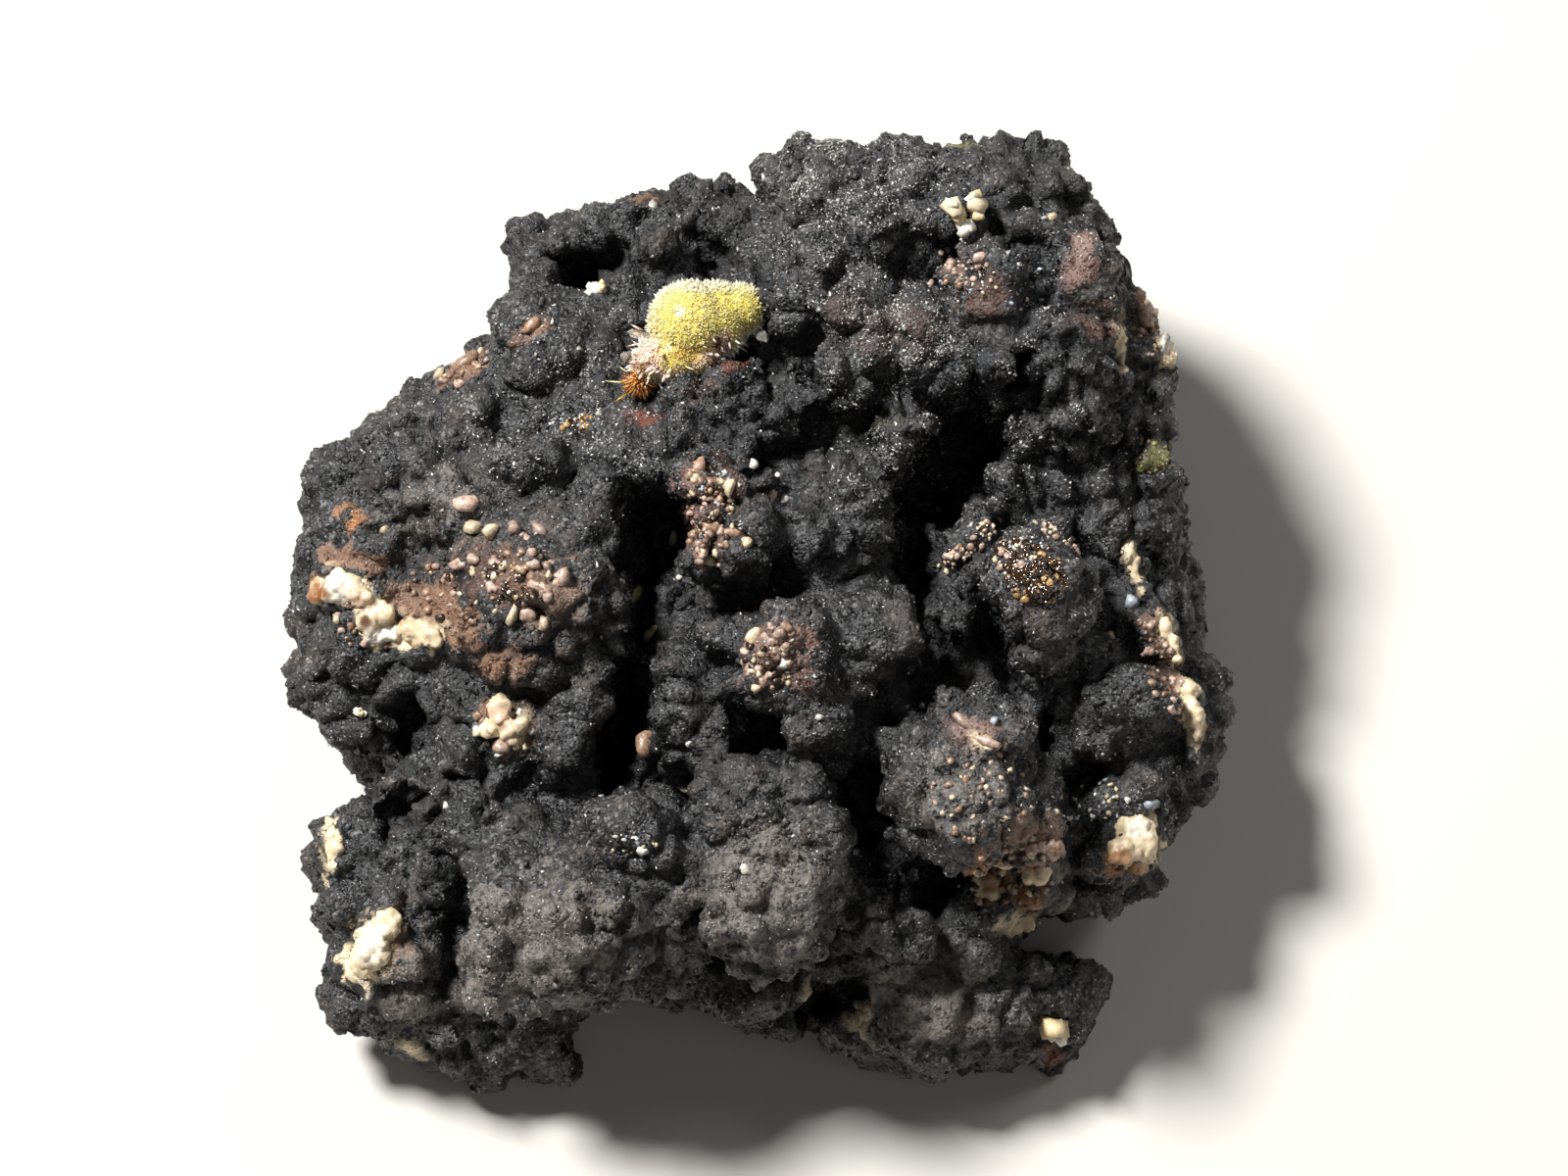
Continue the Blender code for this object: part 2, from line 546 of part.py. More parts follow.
def main():
    clear_scene()
    home = collection("cobaltarthurite_specimen")
    rock = rock_skin(home, material("black_oxide_rock", BLACK_ROCK))
    depth = depth_finder(rock.data)
    white = material("white_chip", WHITE)
    clear = material("clear_crystal", CLEAR)
    pieces = [
        spiny_ball(home, material("cobaltarthurite", YELLOW)),
        iron_spray(home, material("iron_stained_needles", RUST), depth),
        brown_beads(home, material("brown_goethite", BROWN_GLOSS), depth),
    ]
    pieces += [clear_crystal(home, clear, crystal) for crystal in CLEAR_CRYSTALS]
    pieces += [white_chip(home, white, depth, chip) for chip in CHIPS]
    for made in pieces:
        seat_in(rock, made, home)
    for made in [rock] + pieces:
        made.data.transform(TO_FLOOR)
    flatten_back(rock, home)
    for made in [rock] + pieces:
        made.data.update()


main()
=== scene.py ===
"""The looks of a small cobaltarthurite specimen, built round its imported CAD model.

A loose lump of black oxide coated rock lies on its flat broken back, with its display face up
and tipped towards the viewer. One spiny yellow ball of cobaltarthurite stands in a pocket of it.
"""

import math
import random

import bmesh
import bpy
import numpy as np
from mathutils import Matrix, Vector, noise
from mathutils.bvhtree import BVHTree


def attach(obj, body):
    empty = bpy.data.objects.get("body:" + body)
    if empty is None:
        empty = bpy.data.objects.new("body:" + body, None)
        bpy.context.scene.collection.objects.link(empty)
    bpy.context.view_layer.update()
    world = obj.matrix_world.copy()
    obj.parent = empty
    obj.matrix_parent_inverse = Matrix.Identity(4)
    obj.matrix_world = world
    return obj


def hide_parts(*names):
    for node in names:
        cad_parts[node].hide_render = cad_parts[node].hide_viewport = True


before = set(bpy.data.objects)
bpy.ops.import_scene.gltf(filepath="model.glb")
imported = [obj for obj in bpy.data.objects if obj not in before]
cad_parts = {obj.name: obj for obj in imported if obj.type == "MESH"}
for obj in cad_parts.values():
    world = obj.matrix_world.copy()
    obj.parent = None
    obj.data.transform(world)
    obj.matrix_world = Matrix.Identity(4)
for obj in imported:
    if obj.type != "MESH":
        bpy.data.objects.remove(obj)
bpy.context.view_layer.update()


# The rock: a knobbly lump of rock under a crust of black cobalt and manganese oxides. The crust
# grew as small round lumps, one beside the other, and is broken off flat behind.
# Everything on the display face is placed in millimetres: u right, v up, w towards the viewer.

MM = 0.001
SEED = 11

# How the display face lies: how far it is tipped, how high and how far back its middle is in
# millimetres, and where the viewer's eye is.
FACE_TIP = math.radians(20.0)
FACE_HEIGHT = 5.0
FACE_SETBACK = -0.3
EYE = Vector((0.6, 0.4, 170.0))

face_to_world = (
    Matrix.Translation((0, FACE_SETBACK * MM, FACE_HEIGHT * MM))
    @ Matrix.Rotation(FACE_TIP, 4, "X")
    @ Matrix.Scale(MM, 4)
)
world_to_face = face_to_world.inverted()

# The rim of the display face, clockwise from the step at the top: u, v.
RIM = (
    (0.1, 8.65), (0.3, 9.2), (1.0, 9.45), (2.0, 9.3), (3.1, 9.45), (4.3, 9.65), (5.3, 9.5),
    (6.3, 9.1), (7.0, 8.5), (7.5, 7.6), (7.75, 6.8), (7.9, 6.25), (8.35, 6.1), (8.4, 5.5),
    (8.5, 4.4), (8.75, 3.0), (9.0, 1.7), (9.2, 0.2), (9.35, -0.7), (9.6, -1.4), (9.3, -2.5),
    (9.45, -3.3), (8.95, -3.8), (8.4, -4.7), (8.1, -5.6), (7.7, -6.1), (6.3, -6.2), (5.8, -6.7),
    (5.3, -7.1), (5.7, -7.5), (6.4, -7.6), (7.0, -7.65), (7.15, -8.0), (6.6, -8.5), (6.4, -9.0),
    (6.0, -9.4), (5.4, -9.1), (5.1, -9.4), (4.1, -9.5), (3.3, -9.6), (2.6, -9.2), (1.4, -8.9),
    (0.4, -8.7), (-0.6, -8.6), (-1.4, -8.1), (-2.0, -7.7), (-3.0, -7.8), (-3.9, -8.5),
    (-3.3, -9.1), (-4.0, -9.6), (-4.9, -9.3), (-5.4, -9.8), (-6.3, -9.45), (-7.4, -9.0),
    (-8.0, -8.5), (-8.7, -7.8), (-8.8, -6.5), (-8.8, -5.2), (-8.7, -4.3), (-7.9, -3.5),
    (-8.6, -2.8), (-9.1, -1.7), (-9.3, -0.7), (-9.2, 0.6), (-9.1, 1.9), (-8.9, 2.7), (-8.1, 3.5),
    (-7.3, 4.2), (-6.6, 4.6), (-5.7, 5.4), (-5.0, 5.9), (-4.7, 6.4), (-5.3, 7.2), (-5.2, 7.95),
    (-4.3, 8.4), (-3.4, 8.3), (-3.1, 8.75), (-2.4, 8.8), (-1.4, 8.6), (-0.5, 8.75),
)

# The rock's wall from its back to its face: the rim's size there, and how far towards the viewer.
WALL = (
    (0.60, -11.0), (0.75, -8.0), (0.885, -5.0), (0.965, -2.5), (0.99, -1.0),
    (1.0, -0.3), (0.965, 0.35), (0.89, 0.8), (0.72, 1.1), (0.40, 1.3),
)

# Where the face drops away from the viewer: u, v, reach, drop.
SAGS = (
    (-3.6, 8.6, 3.0, 3.4), (-0.8, 9.2, 1.6, 2.2), (9.6, 0.0, 2.2, 0.8), (6.4, -8.9, 1.8, 0.9),
    (-4.6, -9.6, 2.0, 0.8),
)
SAG_FADES = 4.0

# The knobs that stand on the face: u, v, half width, half height, and the w of the top.
KNOBS = (
    (-4.2, 0.0, 1.75, 1.6, 3.2), (-0.7, 1.8, 1.2, 1.5, 3.5), (1.6, 1.5, 1.5, 1.3, 2.8),
    (0.6, -0.9, 1.15, 1.15, 4.2), (2.3, -0.8, 1.1, 1.2, 3.8), (5.6, 0.1, 1.25, 1.35, 3.1),
    (4.3, -3.7, 1.75, 1.7, 4.6), (4.6, -2.6, 1.1, 0.8, 4.4), (0.3, -5.7, 1.5, 1.8, 4.3),
    (-3.6, -6.2, 2.1, 1.8, 4.3), (-2.3, -4.7, 1.25, 0.85, 4.2), (-1.4, -1.9, 1.3, 1.3, 3.3),
    (0.0, -3.9, 1.4, 1.1, 4.0), (-4.2, -7.3, 1.5, 0.9, 3.3), (-2.0, -6.6, 1.2, 1.0, 3.5),
    (-7.0, -6.8, 1.3, 1.4, 1.7), (-4.6, -8.7, 1.0, 0.5, 0.3), (-6.0, -8.2, 1.3, 0.8, 0.9),
    (-6.6, -5.0, 1.2, 1.0, 1.5), (-5.0, -4.6, 1.1, 1.1, 2.6), (-5.4, -2.5, 1.2, 1.1, 1.9),
    (-3.6, -2.6, 0.8, 1.0, 2.3), (-7.6, -0.1, 1.4, 1.0, 1.0), (-8.3, 0.6, 0.8, 0.7, 0.8),
    (-8.5, -0.8, 0.8, 0.8, 0.3), (-6.4, 2.6, 1.4, 1.0, 1.4), (-7.7, 2.0, 0.9, 0.9, 0.7),
    (-4.2, 2.9, 1.3, 0.7, 2.0), (-2.2, 3.1, 1.1, 0.7, 2.4), (-3.2, 1.9, 0.9, 0.6, 2.1),
    (-5.4, 1.9, 1.1, 0.7, 1.8), (-4.0, 4.8, 1.3, 1.0, 0.9), (-4.7, 5.7, 0.6, 0.5, 0.2),
    (-5.6, 4.6, 0.7, 0.5, -0.2), (-6.8, 3.6, 0.8, 0.5, 0.1), (-1.5, 3.95, 0.5, 0.5, 2.1),
    (-0.4, 4.0, 0.9, 0.75, 2.3), (0.8, 6.1, 0.55, 0.6, 2.1), (1.9, 5.9, 0.78, 0.8, 2.4),
    (3.3, 5.7, 0.7, 0.7, 2.5), (1.8, 4.7, 0.85, 0.7, 2.4), (2.9, 4.9, 0.5, 0.6, 2.2),
    (0.9, 4.0, 0.85, 0.65, 2.1), (4.6, 4.9, 1.0, 0.8, 2.4), (6.1, 5.0, 0.9, 0.9, 2.4),
    (6.3, 3.9, 0.9, 0.6, 2.0), (4.6, 6.4, 0.95, 0.7, 2.4), (6.5, 7.0, 0.6, 0.85, 1.6),
    (6.4, 6.0, 0.7, 0.5, 1.6), (5.7, 7.4, 0.75, 0.65, 1.7), (4.3, 7.8, 0.75, 0.65, 1.7),
    (2.6, 7.5, 1.1, 0.85, 1.7), (1.2, 7.0, 0.55, 0.6, 1.5), (1.3, 8.1, 0.9, 0.7, 1.0),
    (3.0, 8.5, 1.0, 0.7, 0.9), (4.7, 8.5, 0.8, 0.6, 1.1), (5.9, 8.2, 0.65, 0.55, 0.6),
    (3.0, 3.4, 0.62, 1.0, 2.1), (1.6, 3.15, 0.6, 0.42, 1.8), (5.6, 2.8, 0.95, 1.0, 1.2),
    (6.7, 2.4, 0.85, 1.0, 1.1), (8.1, 2.0, 0.6, 1.1, 0.2), (7.6, 4.4, 0.6, 0.8, 0.5),
    (8.0, 5.5, 0.42, 0.65, -0.2), (7.5, 0.6, 0.5, 0.8, 1.1), (8.0, -0.6, 0.65, 0.85, 1.2),
    (8.5, 0.0, 0.5, 0.9, -0.2), (7.3, -2.0, 0.95, 0.7, 1.9), (8.2, -2.0, 0.6, 0.6, 1.1),
    (8.6, -3.0, 0.55, 0.6, 0.7), (8.8, -1.4, 0.5, 0.8, 0.1), (6.5, -2.8, 0.5, 0.6, 1.6),
    (6.4, -0.8, 0.65, 0.75, 1.8), (3.8, -0.4, 0.5, 0.6, 1.9), (7.4, -5.0, 0.85, 0.75, 1.2),
    (5.8, -5.3, 0.9, 0.75, 1.6), (4.8, -6.0, 0.7, 0.7, 1.6), (4.6, -6.8, 0.6, 0.45, 0.9),
    (7.2, -3.9, 1.0, 0.5, 1.2), (3.0, -6.4, 0.85, 0.85, 2.2), (2.0, -5.6, 0.75, 1.1, 2.8),
    (3.2, -8.1, 1.2, 0.8, 1.0), (4.6, -8.1, 0.7, 0.6, 0.7), (6.0, -8.2, 0.7, 0.55, -0.1),
    (-0.2, -7.6, 1.2, 0.7, 1.5), (-2.3, 8.0, 0.42, 0.4, -1.8), (-1.2, 7.9, 0.7, 0.45, -1.7),
    (-0.2, 8.0, 0.5, 0.5, -1.1), (-1.9, 7.3, 0.5, 0.42, -0.5), (-4.5, 7.3, 0.36, 0.5, -2.0),
    (-4.3, 6.6, 0.32, 0.4, -1.6), (-3.0, 6.9, 0.55, 0.32, -0.7), (-2.6, 3.8, 0.55, 0.4, 1.6),
    (-8.2, -5.0, 0.5, 0.9, 0.6), (-3.0, -0.9, 0.6, 0.7, 2.6), (-5.0, 0.9, 0.7, 0.6, 2.5),
    (1.3, -2.4, 0.7, 0.5, 3.7), (2.9, -2.7, 0.5, 0.5, 3.2), (-0.7, -0.2, 0.55, 0.5, 3.2),
    (-4.9, -5.6, 0.8, 0.7, 3.7), (-1.2, -5.6, 0.6, 0.8, 4.0), (1.3, -4.6, 0.6, 0.8, 4.1),
)

# The crevices and pits: u, v, half length, half width, turn in degrees, and the w of the bottom.
PITS = (
    (-2.75, -2.4, 1.20, 0.46, 82, -1.0), (-2.0, 1.3, 1.00, 0.60, 80, -0.8),
    (-2.2, -0.1, 0.80, 0.44, 84, 0.0), (4.0, 2.9, 1.50, 0.78, 52, -1.8),
    (3.2, 1.0, 1.15, 0.52, 96, -0.8), (4.9, -0.9, 1.55, 0.34, 117, 0.0),
    (3.55, -0.6, 0.90, 0.32, 110, 0.4), (2.2, -4.0, 1.20, 0.50, 102, -0.2),
    (3.6, -5.9, 0.75, 0.40, 70, -0.6), (6.0, -2.4, 0.85, 0.34, 118, 0.0),
    (6.9, -3.3, 0.80, 0.36, 12, -0.2), (-3.5, 7.1, 0.95, 0.50, 8, -3.6),
    (-0.95, 7.05, 0.70, 0.45, -12, -1.8), (1.8, 3.7, 1.45, 0.24, 30, 0.6),
    (0.9, 3.15, 0.55, 0.30, 12, 0.6), (-8.2, 2.7, 0.50, 0.36, 50, -0.4),
    (-7.3, -4.3, 0.80, 0.34, 12, -0.1), (5.3, 4.6, 0.70, 0.22, 78, 1.0),
    (8.1, 1.2, 0.80, 0.20, 98, -0.9), (-7.2, -2.5, 0.85, 0.50, -20, -0.4),
    (-4.2, -3.5, 1.15, 0.24, 8, 1.0), (-5.9, -6.1, 1.00, 0.20, 98, 1.0),
    (-1.05, -6.4, 0.90, 0.16, 82, 2.6), (-3.7, 2.65, 0.36, 0.22, 60, 1.0),
    (-4.2, 3.9, 0.60, 0.22, 12, 0.2), (5.0, 1.6, 0.50, 0.26, 60, 0.5),
    (6.5, 3.1, 0.50, 0.22, -10, 0.5), (1.5, -8.15, 0.62, 0.42, 80, -2.6),
    (-0.3, 4.95, 0.95, 0.30, 24, 0.5), (0.7, 2.85, 0.60, 0.18, -20, 1.6),
    (-1.5, -0.4, 0.75, 0.24, 60, 1.2), (6.6, 1.5, 0.60, 0.22, 70, 0.4),
    (3.7, 6.6, 0.50, 0.16, 60, 1.3), (-6.2, 1.3, 0.60, 0.18, -25, 0.9),
    (7.3, 3.4, 0.50, 0.20, 60, 0.0), (1.8, -2.9, 0.70, 0.26, -10, 2.4),
    (-0.6, 0.15, 0.90, 0.20, 10, 1.6),
)
PIT_REACH = 3.6

# The gaps that go right back between the rim's spurs: u, v, half length, half width, turn.
NOTCHES = (
    (6.9, -6.82, 1.50, 0.44, 10), (-8.7, -3.5, 1.00, 0.34, 4), (-3.0, -8.7, 0.85, 0.55, 20),
    (-5.6, 6.3, 0.80, 0.45, 50),
)
NOTCH_REACH = 12.0

# The ball stands in this pocket: u, v, half width, half height, and the w of its floor.
POCKET = (-1.1, 5.55, 1.35, 1.15, 0.35)

# The sides and back, which the face hides, are as knobbly and as pitted.
SIDE_KNOBS = 84
SIDE_KNOB_RADIUS = (0.65, 1.5)
SIDE_KNOB_PER_INSET = 1.7
SIDE_KNOB_SUNK = 0.6
SIDE_PITS = 22
SIDE_PIT_RADII = (0.42, 0.42, 1.1)
SIDE_DEPTHS = (-8.5, -1.2)

# How the rock strays from these shapes: spacing and size, of its bends and of its small lumps.
BENDS = ((2.4, 0.34), (1.0, 0.20))
LUMPS = ((1.3, 0.40), (0.75, 0.22))
LUMPS_SINK = 0.62
CRUST_ROOM = 0.10
PIT_ROOM = 0.20

ROCK_VOXEL = 0.17


def ellipsoid(bm, middle, radii, turn=0.0, detail=3):
    shape = (
        Matrix.Translation(middle)
        @ Matrix.Rotation(math.radians(turn), 4, "Z")
        @ Matrix.Diagonal((*radii, 1))
    )
    bmesh.ops.create_icosphere(bm, subdivisions=detail, radius=1, matrix=shape)


def sag_at(u, v):
    """How far the face drops away from the viewer at that place."""
    total = 0.0
    for su, sv, reach, drop in SAGS:
        away = math.hypot(u - su, v - sv) / reach
        total += drop * math.exp(-away * away)
    return total


def rim_at(bm, size, w):
    """One ring of edges of the rock's wall. It sinks with the face, and less so further back."""
    share = max(0.0, min(1.0, (w + SAG_FADES) / SAG_FADES))
    verts = []
    for u, v in RIM:
        sunk = w - share * sag_at(u * size, v * size)
        verts.append(bm.verts.new((u * size, v * size, sunk)))
    return [bm.edges.new(pair) for pair in zip(verts, verts[1:] + verts[:1])]


def body_of_rock():
    """The rim carried from the back to the face, its size changing as WALL says."""
    bm = bmesh.new()
    rings = [rim_at(bm, size, w) for size, w in WALL]
    for behind, before in zip(rings, rings[1:]):
        bmesh.ops.bridge_loops(bm, edges=behind + before)
    for ring in (rings[0], rings[-1]):
        bmesh.ops.edgeloop_fill(bm, edges=ring)
    bmesh.ops.recalc_face_normals(bm, faces=bm.faces)
    return bm


def wall_size(w):
    """The rim's size at that depth of the wall."""
    for (size, low), (next_size, high) in zip(WALL, WALL[1:]):
        if low <= w <= high:
            return size + (next_size - size) * (w - low) / (high - low)
    return WALL[-1][0]


def place_on_wall(chance):
    """A chance place on the rock's side: u, v, w and the wall's inset from the rim there."""
    w = chance.uniform(*SIDE_DEPTHS)
    corner = chance.randrange(len(RIM))
    along = chance.random()
    (u, v), (next_u, next_v) = RIM[corner], RIM[(corner + 1) % len(RIM)]
    u += (next_u - u) * along
    v += (next_v - v) * along
    size = wall_size(w)
    return u * size, v * size, w, (1 - size) * math.hypot(u, v)


def add_side_knobs(bm, chance):
    least, most = SIDE_KNOB_RADIUS
    for _ in range(SIDE_KNOBS):
        u, v, w, inset = place_on_wall(chance)
        radius = max(least, min(most, SIDE_KNOB_PER_INSET * inset)) * chance.uniform(0.75, 1.0)
        inwards = 1 - SIDE_KNOB_SUNK * radius / math.hypot(u, v)
        radii = (radius, radius, radius * chance.uniform(0.8, 1.3))
        ellipsoid(bm, (u * inwards, v * inwards, w), radii)


def add_side_pits(bm, chance):
    for _ in range(SIDE_PITS):
        u, v, w, _ = place_on_wall(chance)
        ellipsoid(bm, (u, v, w), SIDE_PIT_RADII, turn=chance.uniform(0, 180))


def pits_and_notches(chance):
    bm = bmesh.new()
    for u, v, long, wide, turn, bottom in PITS:
        radii = (long + PIT_ROOM, wide + PIT_ROOM, PIT_REACH)
        ellipsoid(bm, (u, v, bottom + PIT_REACH), radii, turn)
    for u, v, long, wide, turn in NOTCHES:
        ellipsoid(bm, (u, v, 0), (long + PIT_ROOM, wide + PIT_ROOM, NOTCH_REACH), turn)
    u, v, wide, high, bottom = POCKET
    ellipsoid(bm, (u, v, bottom + high), (wide, high, high))
    add_side_pits(bm, chance)
    return bm


def link(name, bm):
    mesh = bpy.data.meshes.new(name)
    bm.to_mesh(mesh)
    bm.free()
    made = bpy.data.objects.new(name, mesh)
    bpy.context.scene.collection.objects.link(made)
    return made


def with_modifiers_applied(made):
    """The object's mesh becomes what its modifiers make of it."""
    bpy.context.view_layer.update()
    graph = bpy.context.evaluated_depsgraph_get()
    old = made.data
    made.data = bpy.data.meshes.new_from_object(made.evaluated_get(graph))
    made.modifiers.clear()
    bpy.data.meshes.remove(old)
    made.data.name = made.name
    return made


def one_skin(made, voxel, softening=0):
    """The object's shapes under one even skin."""
    skin = made.modifiers.new("skin", "REMESH")
    skin.mode = "VOXEL"
    skin.voxel_size = voxel
    if softening:
        made.modifiers.new("soften", "SMOOTH").iterations = softening
    return with_modifiers_applied(made)


def stray(mesh):
    """Bends the rock this way and that, and raises small lumps over the cells of a pattern."""
    shift = Vector((SEED, SEED / 2, 0))
    moved = []
    for vert in mesh.vertices:
        raised = 0.0
        for spacing, height in LUMPS:
            away = noise.voronoi(vert.co / spacing + shift)[0][0]
            raised += (1 - LUMPS_SINK - min(1.0, away) ** 2) * height
        place = vert.co + vert.normal * (raised - CRUST_ROOM)
        for spacing, size in BENDS:
            place += noise.noise_vector(vert.co / spacing + shift) * size
        moved.append(place)
    for vert, place in zip(mesh.vertices, moved):
        vert.co = place
    mesh.update()


def whole_rock():
    """The body and its knobs under one skin, bent, lumpy and pitted."""
    chance = random.Random(SEED)
    noise.seed_set(SEED)
    bm = body_of_rock()
    for u, v, wide, high, top in KNOBS:
        deep = min(wide, high)
        ellipsoid(bm, (u, v, top - deep), (wide, high, deep))
    add_side_knobs(bm, chance)
    made = one_skin(link("matrix_rock", bm), ROCK_VOXEL)
    cutter = one_skin(link("pits_cutter", pits_and_notches(chance)), ROCK_VOXEL / 2)
    taken = made.modifiers.new("pits", "BOOLEAN")
    taken.operation = "DIFFERENCE"
    taken.object = cutter
    with_modifiers_applied(made)
    bpy.data.objects.remove(cutter)
    one_skin(made, ROCK_VOXEL)
    stray(made.data)
    return made


# The crust's own small lumps: radius, count, how much of one is buried, and if it is round.
CRUST_LUMPS = (
    (0.62, 520, 0.45, False), (0.46, 500, 0.50, True), (0.32, 1400, 0.45, True),
    (0.34, 1500, 0.35, False), (0.19, 2000, 0.35, True),
)
LUMP_CORNERS = 9
LUMP_ROOM = 0.42
ROUND_SHARE = 1.15
BLOCK_SHARE = 0.2
SKIN_VOXEL = 0.129

# The crumbly skin over them: the largest crumbs' spacing, their height and rise, then how much
# each finer size fades, how much finer it is, and how many sizes there are.
CRUMBLE_SPACING = 0.60
CRUMBLE_HEIGHT = 0.15
CRUMBLE_RISE = 0.55
CRUMBLE_SIZES = (0.8, 2.1, 3)

# The cracks round the blocks, and how much painted shade darkens them.
CRACK_SPACING = 1.05
CRACK_PATCHES = 2.4
CRACK_WIDTH = 0.20
CRACK_DEPTH = 0.34
CRACK_DARKENS = 0.6

# Where the crust is angular blocks with cracks between them, and not round lumps: u, v, reach.
BLOCKY = ((4.2, 6.2, 4.2), (6.4, 3.2, 2.8), (-7.0, -3.0, 1.8), (-0.2, 3.6, 2.0), (-2.0, 0.4, 1.6))

# Pointed pieces of the crust that stand up beside the ball: middle and half sizes.
SHARD_CORNERS = 7
SHARDS = (
    (-1.72, 4.26, 1.85, 0.26, 0.54, 0.26), (-0.30, 4.55, 1.50, 0.30, 0.30, 0.26),
    (0.15, 5.00, 1.30, 0.24, 0.42, 0.22), (0.70, 4.90, 1.70, 0.30, 0.34, 0.25),
)

# Patches of colour on the crust, minerals that stain or coat it and some painted light: colour
# name, u, v, half width, half height, turn, cover.
STAINS_AND_PAINTED_LIGHT = (
    # The grey patches are painted light that makes the lower knobs paler; the black ones make the
    # upper half of the face darker.
    ("black", 2.6, 6.1, 1.8, 0.9, 10, 0.62), ("black", 4.5, 4.5, 2.2, 0.9, 0, 0.60),
    ("black", 5.7, 6.6, 0.9, 1.8, 0, 0.60), ("black", 3.2, 8.4, 2.4, 0.7, 0, 0.55),
    ("black", 1.0, 4.3, 1.2, 0.9, 0, 0.58), ("black", -0.6, 3.4, 1.4, 0.7, 0, 0.55),
    ("black", -3.2, 3.2, 1.6, 0.8, 0, 0.50), ("black", 6.6, 2.6, 1.2, 1.2, 0, 0.50),
    ("grey", -4.5, -6.8, 2.8, 2.0, 0, 0.52), ("grey", 0.2, -6.0, 2.0, 2.4, 0, 0.50),
    ("grey", 4.3, -3.8, 1.6, 1.6, 0, 0.50), ("grey", 3.5, -8.2, 2.6, 1.0, 0, 0.56),
    ("grey", -6.9, -8.0, 1.6, 1.2, 0, 0.54), ("grey", 6.2, -5.6, 1.6, 1.2, 0, 0.52),
    ("grey", -6.6, 2.2, 1.8, 1.2, 20, 0.50), ("grey", -3.6, -0.4, 1.2, 1.4, 0, 0.46),
    ("tan", -8.1, 0.95, 0.85, 0.28, -12, 0.9), ("tan", -6.5, -0.1, 1.35, 0.62, -38, 0.95),
    ("tan", -5.4, -1.2, 0.55, 0.32, -50, 0.9), ("brown", -5.2, 0.6, 1.3, 0.8, -30, 0.6),
    ("cream", -8.45, 0.42, 0.50, 0.36, -10, 1.0), ("cream", -7.9, 0.05, 0.80, 0.34, -40, 1.0),
    ("cream", -7.3, -0.6, 0.95, 0.30, 4, 1.0), ("cream", -6.8, -0.5, 0.50, 0.34, -20, 1.0),
    ("ochre", -8.95, 0.35, 0.20, 0.35, 0, 1.0), ("rust", -7.92, -0.3, 0.14, 0.22, 0, 0.9),
    ("ochre", -7.9, -0.2, 0.2, 0.28, 20, 0.8), ("tan", -4.9, -1.2, 0.5, 0.45, 30, 0.7),
    ("cream", -7.9, -7.0, 0.50, 0.80, -25, 1.0), ("tan", -7.4, -6.6, 0.55, 0.7, 0, 0.6),
    ("cream", -8.65, -4.9, 0.22, 0.7, -8, 1.0), ("tan", -5.0, -2.4, 0.65, 0.8, 10, 0.7),
    ("cream", -4.9, -2.4, 0.28, 0.42, 10, 0.6), ("cream", -7.0, -9.0, 0.4, 0.16, -25, 0.9),
    ("tan", -6.0, 4.9, 0.75, 0.35, 35, 0.8), ("pink", -1.1, 1.9, 0.5, 1.2, 8, 0.7),
    ("brown", -0.6, 2.5, 0.6, 0.8, 0, 0.6), ("pink", 0.5, -0.9, 0.85, 0.8, 0, 0.7),
    ("brown", 0.9, -1.4, 0.7, 0.5, 0, 0.5), ("brown", 4.7, 6.3, 0.62, 0.42, 15, 0.95),
    ("pink", 6.7, 7.1, 0.42, 0.72, -12, 0.9), ("brown", 7.0, 5.9, 0.6, 0.5, 30, 0.85),
    ("rust", 7.3, 5.6, 0.22, 0.2, 0, 0.7), ("pink", 4.1, 7.0, 0.4, 0.4, 0, 0.8),
    ("cream", 8.45, 5.5, 0.28, 0.95, -8, 1.0), ("tan", 8.0, 5.9, 0.28, 0.6, 10, 0.9),
    ("cream", 7.5, 5.3, 0.16, 0.6, 5, 0.8), ("olive", 8.1, 3.1, 0.55, 0.45, 0, 0.85),
    ("cream", 7.75, 0.8, 0.20, 0.85, 16, 0.8), ("cream", 8.5, -0.6, 0.20, 0.75, 22, 0.8),
    ("cream", 8.95, -2.2, 0.25, 0.85, 10, 0.9), ("tan", 8.2, -0.8, 0.4, 1.2, 20, 0.6),
    ("cream", 7.9, -4.8, 0.50, 0.62, 10, 0.95), ("ochre", 7.6, -5.3, 0.5, 0.35, 0, 0.7),
    ("ochre", 4.7, -5.5, 0.5, 0.5, 0, 0.7), ("ochre", 5.6, -5.8, 0.35, 0.6, 0, 0.65),
    ("cream", 5.3, -6.5, 0.55, 0.22, 20, 0.8), ("tan", 5.6, -4.7, 0.9, 0.5, 20, 0.6),
    ("pink", 4.4, -2.5, 0.75, 0.35, -18, 0.6), ("cream", 4.7, -2.75, 0.42, 0.12, -25, 0.8),
    ("rust", 6.1, -9.1, 0.35, 0.25, 0, 0.9), ("cream", 1.15, -8.1, 0.18, 0.5, 12, 0.95),
    ("cream", 2.15, -8.35, 0.28, 0.42, -10, 0.9), ("olive", 2.0, 3.6, 0.85, 0.3, 22, 0.5),
    ("brown", 2.9, 5.7, 0.8, 0.7, 0, 0.45), ("brown", 1.8, 5.9, 0.7, 0.6, 0, 0.35),
    ("brown", -1.2, 4.4, 0.6, 0.35, 20, 0.6), ("rust", -0.4, 5.0, 0.5, 0.22, 25, 0.85),
    ("rust", -2.3, 3.9, 0.4, 0.25, 0, 0.7), ("tan", -4.6, 5.6, 0.7, 0.3, 40, 0.6),
    ("ochre", -8.2, 1.8, 0.35, 0.3, 0, 0.5), ("tan", -4.3, 0.2, 1.0, 1.1, 0, 0.35),
    ("tan", -2.2, 8.3, 0.4, 0.2, 0, 0.7), ("olive", 4.2, 9.45, 0.4, 0.14, 0, 0.6),
)
